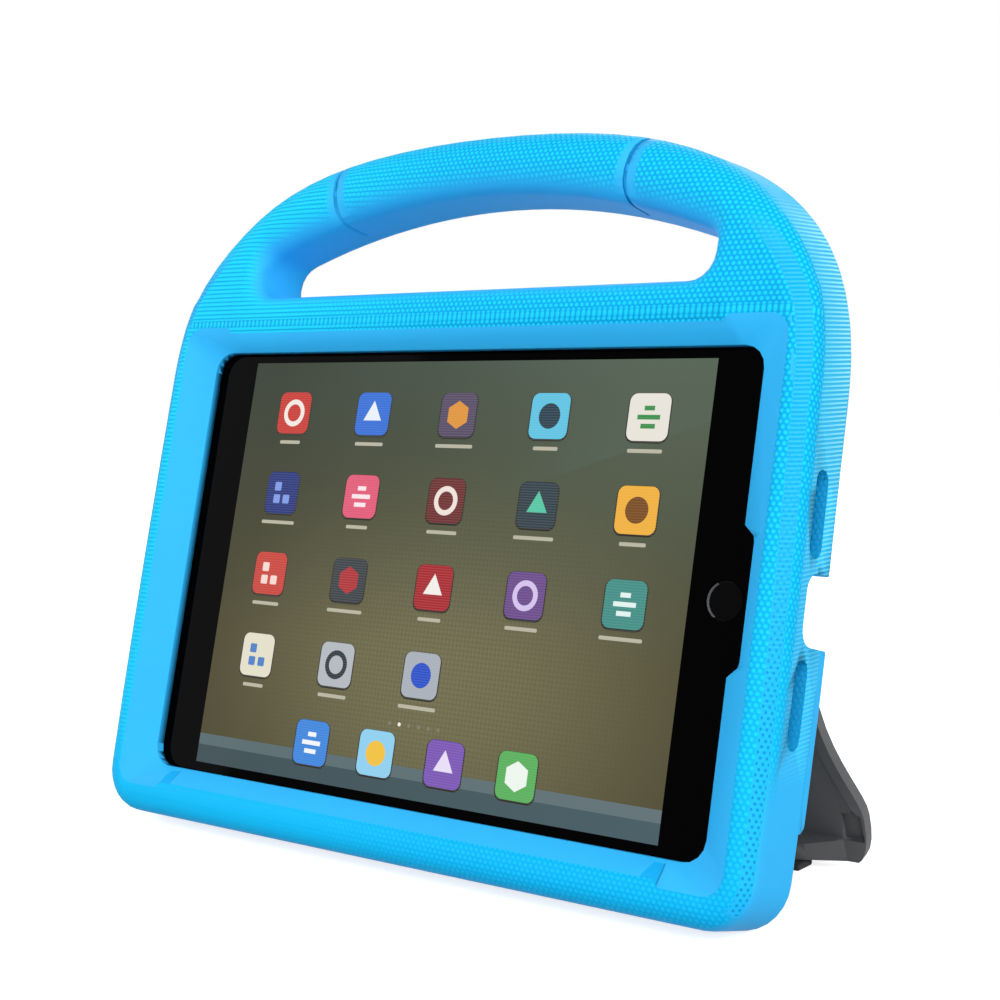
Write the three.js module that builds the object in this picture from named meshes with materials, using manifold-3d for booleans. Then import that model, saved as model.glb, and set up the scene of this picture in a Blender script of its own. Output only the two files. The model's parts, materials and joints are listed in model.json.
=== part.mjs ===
// Kids' tablet case: a one-piece foam frame with a carrying handle, a hinged rear stand,
// and the tablet in it. The pieces are drawn upright: X to the right, Y from the tablet's glass
// towards the back, Z up, with the middle of the glass at the origin.
// The whole is then leaned back onto its stand.
import * as THREE from 'three';
import { mergeVertices } from 'three/addons/utils/BufferGeometryUtils.js';
import Module from 'manifold-3d';

// Sizes are in millimetres and angles in degrees.
const FIT = 0.3; // running gap between touching pieces
const CASE_LEAN = 14.3;

// Tablet, lying on its long side with the home button at the right.
const TABLET_WIDTH = 203.2;
const TABLET_HEIGHT = 134.8;
const TABLET_DEPTH = 6.1;
const TABLET_CORNER = 9.5;
const SHELL_FRONT = 0.3; // how far the shell's rim lies behind the glass face
const SHELL_WALL = 1.2;
const SHELL_BACK = 0.8;
const SHELL_ROUND = 2;
const GLASS_DEPTH = 0.9;
const DISPLAY_WIDTH = 168;
const DISPLAY_HEIGHT = 124;
const DISPLAY_DEPTH = 1.6;
const HOME_RADIUS = 5;
const HOME_X = 90.2;
const HOME_SINK = 0.15; // how far the button's face lies behind the glass face
const HOME_DEPTH = 1.5;
const HOME_TRAVEL = 0.3;
const HOME_SWITCH = 7;
const HOME_SWITCH_CUT = 2; // what the switch lacks at its outer side
const BATTERY_WIDTH = 112;
const BATTERY_HEIGHT = 104;
const BATTERY_SHIFT = 20; // how far the battery lies to the left of the middle
const BOARD_GAP = 4; // between the battery and the board
const BOARD_WIDTH = 36;
const BOARD_HEIGHT = 96;
const BOARD_DEPTH = 0.8;
const SPEAKER_WIDTH = 6;
const SPEAKER_LENGTH = 20;
const SPEAKER_DEPTH = 2.8;
const PORT_LENGTH = 6;
const PORT_WIDTH = 9.2;
const PORT_DEPTH = 2.9;
const PORT_WALL = 0.35;
const JACK_Z = -57;
const JACK_RADIUS = 1.98;
const JACK_BORE = 1.78;
const JACK_LENGTH = 13;
const JACK_END = 0.5; // the closed end's thickness
const KEY_PROUD = 0.5; // how far a side key stands out of the tablet's edge
const KEY_DEPTH = 1.8;
const KEY_THICKNESS = 1.8;
const POWER_Z = 50;
const POWER_LENGTH = 10;
const VOLUME_UP_X = -52.5;
const VOLUME_DOWN_X = -41.5;
const VOLUME_LENGTH = 9;
const MUTE_X = -66;
const MUTE_LENGTH = 4;
const MUTE_THICKNESS = 1.2;
const MUTE_TRAVEL = 0.8;
const CAMERA_X = -91;
const CAMERA_Z = 56;
const CAMERA_RING = 4;
const CAMERA_LENS = 3;
const CAMERA_RING_PROUD = 0.2;
const CAMERA_BODY = 7.6;
const CAMERA_BODY_CUT = 1;
const GRILLE_PITCH = 2.6;
const GRILLE_RADIUS = 0.7;
const FACE_CAMERA_X = -92.5;
const FACE_CAMERA_RADIUS = 1.6;

// Foam frame around the tablet.
const SIDE_WALL = 8.3;
const BOTTOM_WALL = 9.6;
const TOP_WALL = 11.3; // foam between the tablet and the handle's opening
const BACK_WALL = 7.4;
const LIP_DEPTH = 2.4;
const LIP_COVER_X = 6.7; // how far the lip reaches over the tablet's edges
const LIP_COVER_Z = 4.55;
const LIP_CORNER = 6;
const LIP_CORNER_STEPS = 4;
const BEVEL_DEPTH = 5.8;
const BEVEL_RUN_X = 8.7;
const BEVEL_RUN_Z = 4.6;
const RELIEF_RUN = 1.8; // extra run of the bevel beside each corner
const RELIEF_LENGTH = 2; // from the corner's arc to where the wide bevel starts
const RELIEF_STEP = 2.2;
const RELIEF_HEAD_CORNER = 5.5;
const RELIEF_FOOT_CORNER = 5.5;
const HOME_RELIEF = 3;
const HOME_RELIEF_HALF = 15.4;
const HOME_RELIEF_EASE = 0.9; // how far the bay's corners are cut back
const FRONT_ROUND = 5.5;
const GRIP_ROUND = 9.5; // rounding of the front edge along the crown
const GRIP_DRAFT = 1.4; // how much smaller the crown is at its front
const BACK_ROUND = 1.2;
const FOOT_CORNER = 13;
const SIDE_BULGE = 1.2;
const SHOULDER_Z = 52;
const SHOULDER_PULL = 58;
const CROWN_PULL = 68;
const HANDLE_BAR = 18.7;
const HOLE_HEIGHT = 27.8;
const HOLE_HALF = 79;
const HOLE_FOOT_CORNER = 7;
const HOLE_ARCH_RADIUS = 210;
const HOLE_SHOULDER = 5;
const HOLE_ROUND = 4.5;
const GRIP_UNDER_ROUND = 7.5; // rounding of the front edge under the grip
const HOLE_BACK_ROUND = 2.5;
const GROOVE_X = 49;
const GROOVE_SLANT = 6;
const GROOVE_WIDTH = 1.2;
const GROOVE_DEPTH = 0.7;
const NOTCH_HALF = 8.8;
const NOTCH_FRONT = 2.3;
const NOTCH_ROUND = 4.5;
const NOTCH_MOUTH_ROUND = 1.6;
const SLOT_LENGTH = 21.6;
const SLOT_WIDTH = 6.2;
const SLOT_DEPTH = 4.6;
const SLOT_Y = 4.1;
const SLOT_Z = 22.8;
const JACK_HOLE = 4;
const CAMERA_HOLE = 6;
const CAMERA_FLARE = 3;
const KEY_ROOM = 1.4; // hollow in the pocket's wall over each side key
const KEY_ROOM_FRONT = 0.8;
const KEY_ROOM_END = 1;
const RAIL_RISE = 2.6; // raised strips of the back, beside the stand's waist
const RAIL_TOP = 4;
const RAIL_BOTTOM = -50;
const RAIL_WAIST = 96.5;
const RAIL_FOOT = 101.5;

// Stand and its mounting through the back wall.
const HINGE_Z = 22;
const HINGE_GAP = 0.4; // between the barrel and the back
const BARREL_RADIUS = 3.2;
const PIN_RADIUS = 1.5;
const EAR_WIDTH = 6;
const BARREL_LENGTH = 28;
const HINGE_INNER = 24; // inner end of each hinge, from the middle
const BASE_WIDTH = 148;
const BASE_HEIGHT = 28;
const BASE_DEPTH = 1.6;
const BASE_CORNER = 5;
const BOSS_RADIUS = 3;
const BOSS_X = 68;
const BOSS_RISE = 9;
const RETAINER_DEPTH = 1.6;
const SCREW_RADIUS = 1.1;
const SCREW_HEAD = 2.4;
const SCREW_HEAD_DEPTH = 0.6;
const STAND_LEG = 98.8;
const STAND_PLATE = 2.6;
const STAND_RIM = 0.8;
const STAND_TOP_HALF = 80;
const STAND_TOP_CORNER = 9;
const STAND_NECK = 5.2; // from the pin to the plate's upper edge
const STAND_WAIST_HALF = 94.4;
const STAND_WAIST = 53.8;
const STAND_FOOT = 84;
const STAND_SOLE_HALF = 99.6;
const FOOT_FLARE = 3.9; // how far the foot stands out beside the sole
const FLANK_EASE = 1.6; // pulls of the flank's curve at the waist and at the foot
const FLANK_LEAD = 16;
const FOOT_LEAD = 6;
const HEEL_LEAD = 5; // pulls of the heel's curve, and how far it runs in under the sole
const HEEL_PULL = 2;
const HEEL_SINK = 0.5;
const HEEL_TUCK = 3;
const RIM_WIDTH = 3.2;
const LEDGE_INSET = 1.6; // from the sole's end to the ledge's end
const LEDGE_FLAT_INSET = 28;
const LEDGE_LEAD = 8; // pulls of the ledge's end curve
const LEDGE_TAPER = 6;
const LEDGE_TAPER_DEPTH = 3;
const LEDGE_REACH = 11;
const LEDGE_HEIGHT = 7.5;
const CORNER_POCKET_WIDTH = 6;
const CORNER_POCKET_HEIGHT = 8;
const CORNER_POCKET_DEPTH = 2.4;
const PAD_LENGTH = 24;
const PAD_WIDTH = 8;
const PAD_DEPTH = 1.9;
const PAD_INSET = 11; // from the ledge's end to the pad's outer end
const PAD_FRONT = 11.8; // from the plate's middle to the pad's front edge

// Places that follow from the sizes.
const lean = THREE.MathUtils.degToRad(CASE_LEAN);
const halfWidth = TABLET_WIDTH / 2;
const halfHeight = TABLET_HEIGHT / 2;
const caseHalf = halfWidth + FIT + SIDE_WALL;
const caseBottom = -(halfHeight + FIT + BOTTOM_WALL);
const holeBottom = halfHeight + FIT + TOP_WALL;
const holeTop = holeBottom + HOLE_HEIGHT;
const caseTop = holeTop + HANDLE_BAR;
const lipBack = -FIT;
const lipFront = lipBack - LIP_DEPTH;
const caseFront = lipFront - BEVEL_DEPTH;
const pocketFloor = TABLET_DEPTH + FIT;
const caseBack = pocketFloor + BACK_WALL;
const lipHalfX = halfWidth - LIP_COVER_X;
const lipHalfZ = halfHeight - LIP_COVER_Z;
const keyY = TABLET_DEPTH / 2;
const cavityFloor = TABLET_DEPTH - SHELL_BACK;
const displayFront = GLASS_DEPTH + FIT;
const displayBack = displayFront + DISPLAY_DEPTH;
const hingeY = caseBack + BARREL_RADIUS + HINGE_GAP;
const barrelStart = HINGE_INNER + EAR_WIDTH + FIT;
const barrelEnd = barrelStart + BARREL_LENGTH;
const hingeOuter = barrelEnd + FIT + EAR_WIDTH;
const baseFront = caseBack - BASE_DEPTH;
const retainerBack = pocketFloor + FIT + RETAINER_DEPTH;
const footHalf = STAND_SOLE_HALF + FOOT_FLARE;
const ledgeHalf = STAND_SOLE_HALF - LEDGE_INSET;
const ledgeFlat = ledgeHalf - LEDGE_FLAT_INSET;
const OUTSIDE = 3; // how far a cutting shape runs past the face that it cuts

const wasm = await Module();
wasm.setup();

function solid(geometry) {
  const bare = geometry.clone();
  bare.deleteAttribute('normal');
  bare.deleteAttribute('uv');
  const merged = mergeVertices(bare, 1e-4);
  const mesh = new wasm.Mesh({
    numProp: 3,
    vertProperties: merged.attributes.position.array,
    triVerts: new Uint32Array(merged.index.array),
  });
  return new wasm.Manifold(mesh);
}

function join(first, ...others) {
  return others.reduce((whole, piece) => whole.add(solid(piece)), solid(first));
}

function cut(body, ...tools) {
  return tools.reduce((whole, tool) => whole.subtract(solid(tool)), body);
}

function toGeometry(body) {
  const mesh = body.getMesh();
  const geometry = new THREE.BufferGeometry();
  geometry.setAttribute('position', new THREE.BufferAttribute(mesh.vertProperties, 3));
  geometry.setIndex(new THREE.BufferAttribute(mesh.triVerts, 1));
  geometry.computeVertexNormals();
  return geometry;
}

// Points of an arc in the XZ plane, from one angle to the other, both ends included.
function arc(x, z, radius, from, to, steps) {
  const curve = new THREE.EllipseCurve(x, z, radius, radius, from, to, to < from);
  return curve.getPoints(steps);
}

function roundedRect(halfX, halfZ, radius, steps = 4) {
  const x = halfX - radius;
  const z = halfZ - radius;
  const quarter = Math.PI / 2;
  return [
    ...arc(x, -z, radius, -quarter, 0, steps),
    ...arc(x, z, radius, 0, quarter, steps),
    ...arc(-x, z, radius, quarter, 2 * quarter, steps),
    ...arc(-x, -z, radius, 2 * quarter, 3 * quarter, steps),
  ];
}

function shifted(points, x, z) {
  return points.map((p) => new THREE.Vector2(p.x + x, p.y + z));
}

function mirrored(points) {
  return points.map((p) => new THREE.Vector2(-p.x, p.y)).reverse();
}

// A flat slab with an outline in the XZ plane, from one depth Y to another.
function slab(points, front, back, holes = []) {
  const shape = new THREE.Shape(points);
  shape.holes = holes.map((hole) => new THREE.Path(hole));
  const geometry = new THREE.ExtrudeGeometry(shape, { depth: back - front, bevelEnabled: false });
  return geometry.rotateX(Math.PI / 2).translate(0, back, 0);
}

// A bar with an outline in the YZ plane, from one X to another.
function bar(points, left, right) {
  const geometry = new THREE.ExtrudeGeometry(new THREE.Shape(points), {
    depth: right - left,
    bevelEnabled: false,
  });
  const turn = new THREE.Matrix4().makeBasis(
    new THREE.Vector3(0, 1, 0),
    new THREE.Vector3(0, 0, 1),
    new THREE.Vector3(1, 0, 0),
  );
  return geometry.applyMatrix4(turn).translate(left, 0, 0);
}

function box(left, right, front, back, bottom, top) {
  const geometry = new THREE.BoxGeometry(right - left, back - front, top - bottom);
  return geometry.translate((left + right) / 2, (front + back) / 2, (bottom + top) / 2);
}

// A round rod along Y, with another radius at its back where one is given.
function rodY(x, z, radius, front, back, backRadius = radius, sides = 24) {
  const geometry = new THREE.CylinderGeometry(backRadius, radius, back - front, sides);
  return geometry.translate(x, (front + back) / 2, z);
}

function rodX(y, z, radius, left, right, sides = 20) {
  const geometry = new THREE.CylinderGeometry(radius, radius, right - left, sides);
  return geometry.rotateZ(Math.PI / 2).translate((left + right) / 2, y, z);
}

// A closed body through rings that have as many points each, the first ring at the back.
function loft(rings) {
  const count = rings[0].length;
  const positions = [];
  const vertex = (ring, index) => ring[index % count].toArray();
  for (let r = 0; r + 1 < rings.length; r++) {
    for (let i = 0; i < count; i++) {
      const [a, b] = [vertex(rings[r], i), vertex(rings[r], i + 1)];
      const [c, d] = [vertex(rings[r + 1], i + 1), vertex(rings[r + 1], i)];
      positions.push(...a, ...b, ...c, ...a, ...c, ...d);
    }
  }
  const [back, front] = [rings[0], rings[rings.length - 1]];
  const flat = (ring) => ring.map((p) => new THREE.Vector2(p.x, p.z));
  for (const [i, j, k] of THREE.ShapeUtils.triangulateShape(flat(front), [])) {
    positions.push(...vertex(front, i), ...vertex(front, j), ...vertex(front, k));
  }
  for (const [i, j, k] of THREE.ShapeUtils.triangulateShape(flat(back), [])) {
    positions.push(...vertex(back, i), ...vertex(back, k), ...vertex(back, j));
  }
  const geometry = new THREE.BufferGeometry();
  geometry.setAttribute('position', new THREE.Float32BufferAttribute(positions, 3));
  return geometry;
}

function level(points, y) {
  return points.map((p) => new THREE.Vector3(p.x, y, p.y));
}

// An outline's points moved inwards, each by its own distance, and set at their own depths.
function insetRing(points, inset, depth) {
  const count = points.length;
  return points.map((point, i) => {
    const along = points[(i + 1) % count].clone().sub(points[(i + count - 1) % count]).normalize();
    const shift = inset(point);
    return new THREE.Vector3(point.x - along.y * shift, depth(point), point.y + along.x * shift);
  });
}

// Outline of the foam frame at its back: flat foot, slightly full sides, and a crown that is the handle.
function caseOutline() {
  const side = new THREE.QuadraticBezierCurve(
    new THREE.Vector2(caseHalf, caseBottom + FOOT_CORNER),
    new THREE.Vector2(caseHalf + SIDE_BULGE, (caseBottom + SHOULDER_Z) / 2),
    new THREE.Vector2(caseHalf, SHOULDER_Z),
  );
  const crown = new THREE.CubicBezierCurve(
    new THREE.Vector2(caseHalf, SHOULDER_Z),
    new THREE.Vector2(caseHalf, SHOULDER_Z + SHOULDER_PULL),
    new THREE.Vector2(CROWN_PULL, caseTop),
    new THREE.Vector2(0, caseTop),
  );
  const footX = caseHalf - FOOT_CORNER;
  const right = [
    ...arc(footX, caseBottom + FOOT_CORNER, FOOT_CORNER, -Math.PI / 2, 0, 7),
    ...side.getPoints(5).slice(1),
    ...crown.getPoints(18).slice(1),
  ];
  return [...right, ...mirrored(right).slice(1)];
}

// The solid foam block, smaller all over by an inset. Its front edge is rounder along the crown.
function foamBlock(inset, back) {
  const outline = caseOutline();
  const grip = (p) => THREE.MathUtils.smoothstep(p.y, halfHeight, caseTop - HANDLE_BAR);
  const round = (p) => THREE.MathUtils.lerp(FRONT_ROUND, GRIP_ROUND, grip(p)) - inset;
  const draft = (p) => GRIP_DRAFT * grip(p) + inset;
  const rings = [];
  for (const turn of [1, 0.5, 0]) {
    const angle = (turn * Math.PI) / 2;
    const y = back - BACK_ROUND * (1 - Math.sin(angle));
    rings.push(insetRing(outline, () => inset + BACK_ROUND * (1 - Math.cos(angle)), () => y));
  }
  for (const turn of [0, 0.2, 0.4, 0.6, 0.8, 1]) {
    const angle = (turn * Math.PI) / 2;
    rings.push(
      insetRing(
        outline,
        (p) => draft(p) + round(p) * (1 - Math.cos(angle)),
        (p) => caseFront + inset + round(p) * (1 - Math.sin(angle)),
      ),
    );
  }
  return solid(loft(rings));
}

// Outline of the opening under the handle: flat floor, round ends and a low arch.
function holeOutline() {
  const archZ = (x) =>
    holeTop - HOLE_ARCH_RADIUS + Math.sqrt(HOLE_ARCH_RADIUS ** 2 - x ** 2);
  const archEnd = HOLE_HALF - HOLE_SHOULDER;
  const shoulder = new THREE.QuadraticBezierCurve(
    new THREE.Vector2(HOLE_HALF, archZ(HOLE_HALF) - HOLE_SHOULDER),
    new THREE.Vector2(HOLE_HALF, archZ(HOLE_HALF)),
    new THREE.Vector2(archEnd, archZ(archEnd)),
  );
  const archSteps = 12;
  const arch = [];
  for (let i = 1; i <= archSteps; i++) {
    const x = archEnd * (1 - i / archSteps);
    arch.push(new THREE.Vector2(x, archZ(x)));
  }
  const footX = HOLE_HALF - HOLE_FOOT_CORNER;
  const footZ = holeBottom + HOLE_FOOT_CORNER;
  const right = [
    ...arc(footX, footZ, HOLE_FOOT_CORNER, -Math.PI / 2, 0, 5),
    ...shoulder.getPoints(4),
    ...arch,
  ];
  return [...right, ...mirrored(right).slice(1)];
}

// The cutting shape of the handle's opening, flared at both faces so that its edges come out round.
// With a depth it is wider all round, for a block that is smaller by as much.
function handleHole(depth = 0) {
  const outline = holeOutline();
  const footEnd = holeBottom + HOLE_FOOT_CORNER;
  const grip = (p) => THREE.MathUtils.smoothstep(p.y, footEnd, footEnd + HOLE_FOOT_CORNER);
  const round = (p) => THREE.MathUtils.lerp(HOLE_ROUND, GRIP_UNDER_ROUND, grip(p)) - depth;
  const rings = [insetRing(outline, () => -HOLE_BACK_ROUND, () => caseBack + OUTSIDE)];
  for (const turn of [1, 0.67, 0.33, 0]) {
    const angle = (turn * Math.PI) / 2;
    const y = caseBack - HOLE_BACK_ROUND * (1 - Math.sin(angle));
    rings.push(insetRing(outline, () => -HOLE_BACK_ROUND * (1 - Math.cos(angle)), () => y));
  }
  for (const turn of [0, 0.2, 0.4, 0.6, 0.8, 1]) {
    const angle = (turn * Math.PI) / 2;
    rings.push(
      insetRing(
        outline,
        (p) => -depth - round(p) * (1 - Math.cos(angle)),
        (p) => caseFront + depth + round(p) * (1 - Math.sin(angle)),
      ),
    );
  }
  rings.push(insetRing(outline, (p) => -depth - round(p), () => caseFront - OUTSIDE));
  return loft(rings);
}

// The sloping faces around the window. The slope is wider in Z beside each corner, with a flat facet there.
function windowBevel() {
  const innerX = lipHalfX - LIP_CORNER;
  const innerZ = lipHalfZ - LIP_CORNER;
  const outerX = lipHalfX + BEVEL_RUN_X;
  const outerZ = lipHalfZ + BEVEL_RUN_Z;
  const reliefEnd = innerX - RELIEF_LENGTH;
  const inner = [
    ...arc(innerX, innerZ, LIP_CORNER, 0, Math.PI / 2, LIP_CORNER_STEPS),
    new THREE.Vector2(reliefEnd, lipHalfZ),
    new THREE.Vector2(reliefEnd - RELIEF_STEP, lipHalfZ),
  ];
  const outer = (corner) => {
    const [x, z] = [outerX - corner, outerZ + RELIEF_RUN - corner];
    return [
      ...arc(x, z, corner, 0, Math.PI / 2, LIP_CORNER_STEPS),
      new THREE.Vector2(reliefEnd, outerZ + RELIEF_RUN),
      new THREE.Vector2(reliefEnd - RELIEF_STEP, outerZ),
    ];
  };
  const around = (head, foot) => {
    const top = [...head, ...mirrored(head)];
    const bottom = [...foot, ...mirrored(foot)].map((p) => new THREE.Vector2(p.x, -p.y));
    return [...top, ...bottom.reverse()];
  };
  const innerRing = level(around(inner, inner), lipFront);
  const outerRing = level(around(outer(RELIEF_HEAD_CORNER), outer(RELIEF_FOOT_CORNER)), caseFront);
  const beyond = outerRing.map((p, i) => p.clone().lerp(innerRing[i], -OUTSIDE / BEVEL_DEPTH));
  return loft([innerRing, outerRing, beyond]);
}

// The shallow bay in the lip that leaves room round the home button.
function homeRelief() {
  const end = HOME_RELIEF_HALF + HOME_RELIEF;
  const ease = HOME_RELIEF_EASE;
  const bay = (reach) => {
    const [start, side] = [lipHalfX + reach - HOME_RELIEF, lipHalfX + reach];
    return [
      new THREE.Vector2(HOME_X, -end),
      new THREE.Vector2(start, -end),
      new THREE.Vector2(side - ease / 3, -HOME_RELIEF_HALF - ease / 2),
      new THREE.Vector2(side, -HOME_RELIEF_HALF + ease),
      new THREE.Vector2(side, HOME_RELIEF_HALF - ease),
      new THREE.Vector2(side - ease / 3, HOME_RELIEF_HALF + ease / 2),
      new THREE.Vector2(start, end),
      new THREE.Vector2(HOME_X, end),
    ];
  };
  return loft([
    level(bay(HOME_RELIEF), lipBack + OUTSIDE / 2),
    level(bay(HOME_RELIEF), lipFront),
    level(bay(BEVEL_RUN_X), caseFront),
  ]);
}

// A fine groove at each end of the grip, cut as deep into the rounded edges as into the face.
function handleGrooves() {
  const core = cut(foamBlock(GROOVE_DEPTH, caseBack), handleHole(GROOVE_DEPTH));
  const foot = holeBottom + HOLE_HEIGHT / 2;
  const head = caseTop + OUTSIDE;
  const steps = [0, 0.2, 0.4, 0.6, 0.8, 1];
  const line = steps.map(
    (t) => new THREE.Vector2(GROOVE_X + GROOVE_SLANT * t * t, foot + t * (head - foot)),
  );
  const right = [...shifted(line, GROOVE_WIDTH, 0), ...line.reverse()];
  return [right, mirrored(right)].map((outline) =>
    solid(slab(outline, caseFront - OUTSIDE, caseBack / 2)).subtract(core),
  );
}

// The U in the right-hand wall at the charging port, open to the back.
function portNotch() {
  const face = caseBack + RAIL_RISE;
  const centre = NOTCH_FRONT + NOTCH_ROUND;
  const side = NOTCH_HALF - NOTCH_ROUND;
  const [mouth, edge] = [NOTCH_MOUTH_ROUND, NOTCH_HALF + NOTCH_MOUTH_ROUND];
  const outline = [
    new THREE.Vector2(face + OUTSIDE, -edge),
    ...arc(face - mouth, -edge, mouth, 0, Math.PI / 2, 3),
    ...arc(centre, -side, NOTCH_ROUND, 1.5 * Math.PI, Math.PI, 5),
    ...arc(centre, side, NOTCH_ROUND, Math.PI, Math.PI / 2, 5),
    ...arc(caseBack - mouth, edge, mouth, -Math.PI / 2, 0, 3),
    new THREE.Vector2(face + OUTSIDE, edge),
  ];
  return bar(outline.reverse(), halfWidth - FIT, caseHalf + OUTSIDE);
}

function soundSlot(z) {
  const radius = SLOT_WIDTH / 2;
  const side = SLOT_LENGTH / 2 - radius;
  const outline = [
    ...arc(SLOT_Y, z + side, radius, 0, Math.PI, 8),
    ...arc(SLOT_Y, z - side, radius, Math.PI, 2 * Math.PI, 8),
  ];
  return bar(outline, caseHalf - SLOT_DEPTH, caseHalf + OUTSIDE);
}

// The raised strips down both sides of the back, between which the folded stand's waist lies.
function backRails() {
  const low = (slope) => [
    new THREE.Vector2(RAIL_FOOT - slope, RAIL_BOTTOM - slope),
    new THREE.Vector2(caseHalf + OUTSIDE, RAIL_BOTTOM - slope),
    new THREE.Vector2(caseHalf + OUTSIDE, RAIL_TOP + slope),
    new THREE.Vector2(RAIL_WAIST - slope, RAIL_TOP + slope),
    new THREE.Vector2(RAIL_WAIST - slope, RAIL_BOTTOM + 3 * (RAIL_FOOT - RAIL_WAIST)),
  ];
  const block = foamBlock(0, caseBack + RAIL_RISE);
  const rise = 1.5 * RAIL_RISE;
  const strip = (turn) =>
    solid(
      loft([
        level(turn(low(-0.5 * RAIL_RISE)), caseBack + rise),
        level(turn(low(RAIL_RISE)), caseBack),
        level(turn(low(RAIL_RISE)), caseBack - 1),
      ]),
    );
  return [(points) => points, mirrored].map((turn) => block.intersect(strip(turn)));
}

function bossPlaces() {
  return [-BOSS_X, BOSS_X].flatMap((x) =>
    [HINGE_Z - BOSS_RISE, HINGE_Z + BOSS_RISE].map((z) => ({ x, z })),
  );
}

function foamBody() {
  const pocket = roundedRect(halfWidth + FIT, halfHeight + FIT, TABLET_CORNER + FIT);
  const basePlan = roundedRect(BASE_WIDTH / 2 + FIT, BASE_HEIGHT / 2 + FIT, BASE_CORNER + FIT);
  const edge = halfHeight + KEY_ROOM;
  const keyHollow = (x, length) => {
    const half = length / 2 + KEY_ROOM_END;
    return box(x - half, x + half, KEY_ROOM_FRONT, TABLET_DEPTH, halfHeight, edge);
  };
  const powerHalf = POWER_LENGTH / 2 + KEY_ROOM_END;
  const [left, right] = backRails();
  const opened = cut(
    foamBlock(0, caseBack).add(left).add(right),
    handleHole(),
    slab(pocket, lipBack, pocketFloor),
    slab(roundedRect(lipHalfX, lipHalfZ, LIP_CORNER), lipFront, 0),
    windowBevel(),
    homeRelief(),
    portNotch(),
    soundSlot(SLOT_Z),
    soundSlot(-SLOT_Z),
    rodX(keyY, JACK_Z, JACK_HOLE, -caseHalf - OUTSIDE, -halfWidth),
    rodY(CAMERA_X, CAMERA_Z, CAMERA_HOLE, 0, caseBack + 0.1, CAMERA_HOLE + CAMERA_FLARE),
    keyHollow(VOLUME_UP_X, VOLUME_LENGTH),
    keyHollow(VOLUME_DOWN_X, VOLUME_LENGTH),
    keyHollow(MUTE_X, MUTE_LENGTH),
    box(
      -halfWidth - KEY_ROOM,
      -halfWidth,
      KEY_ROOM_FRONT,
      TABLET_DEPTH,
      POWER_Z - powerHalf,
      POWER_Z + powerHalf,
    ),
    slab(shifted(basePlan, 0, HINGE_Z), pocketFloor - 1, retainerBack + FIT),
    slab(shifted(basePlan, 0, HINGE_Z), baseFront - FIT, caseBack + OUTSIDE),
    ...bossPlaces().map(({ x, z }) => rodY(x, z, BOSS_RADIUS + FIT, pocketFloor, caseBack)),
  );
  const [leftGroove, rightGroove] = handleGrooves();
  return toGeometry(opened.subtract(leftGroove).subtract(rightGroove));
}

function retainerPlate() {
  const plan = roundedRect(BASE_WIDTH / 2, BASE_HEIGHT / 2, BASE_CORNER);
  const front = pocketFloor + FIT;
  const plate = solid(slab(shifted(plan, 0, HINGE_Z), front, retainerBack));
  const seat = front + SCREW_HEAD_DEPTH + FIT;
  const holes = bossPlaces().flatMap(({ x, z }) => [
    rodY(x, z, SCREW_RADIUS + FIT, front - 1, retainerBack + 1),
    rodY(x, z, SCREW_HEAD + FIT, front - 1, seat),
  ]);
  return toGeometry(cut(plate, ...holes));
}

// The ears of both hinges, each a round end on the pin's line with a web down to the plate.
function standBase() {
  const plan = roundedRect(BASE_WIDTH / 2, BASE_HEIGHT / 2, BASE_CORNER);
  const plate = slab(shifted(plan, 0, HINGE_Z), baseFront, caseBack);
  const lefts = [
    HINGE_INNER,
    barrelEnd + FIT,
    -HINGE_INNER - EAR_WIDTH,
    -barrelEnd - FIT - EAR_WIDTH,
  ];
  const [low, high] = [HINGE_Z - BARREL_RADIUS, HINGE_Z + BARREL_RADIUS];
  const ears = lefts.flatMap((left) => [
    rodX(hingeY, HINGE_Z, BARREL_RADIUS, left, left + EAR_WIDTH),
    box(left, left + EAR_WIDTH, caseBack - 0.5, hingeY, low, high),
  ]);
  const bossEnd = retainerBack + FIT;
  const bosses = bossPlaces().map(({ x, z }) => rodY(x, z, BOSS_RADIUS, bossEnd, caseBack));
  const whole = join(plate, ...ears, ...bosses);
  const end = hingeOuter + 1;
  return toGeometry(
    cut(
      whole,
      rodX(hingeY, HINGE_Z, PIN_RADIUS + FIT, -end, end),
      ...bossPlaces().map(({ x, z }) =>
        rodY(x, z, SCREW_RADIUS + FIT, bossEnd - 1, baseFront),
      ),
    ),
  );
}

function baseScrew() {
  const tip = baseFront - pocketFloor - 2 * FIT;
  const profile = [
    new THREE.Vector2(0, 0),
    new THREE.Vector2(SCREW_HEAD, 0),
    new THREE.Vector2(SCREW_HEAD, SCREW_HEAD_DEPTH),
    new THREE.Vector2(SCREW_RADIUS, SCREW_HEAD_DEPTH),
    new THREE.Vector2(SCREW_RADIUS, tip),
    new THREE.Vector2(0, tip),
  ];
  return new THREE.LatheGeometry(profile, 16);
}

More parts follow.
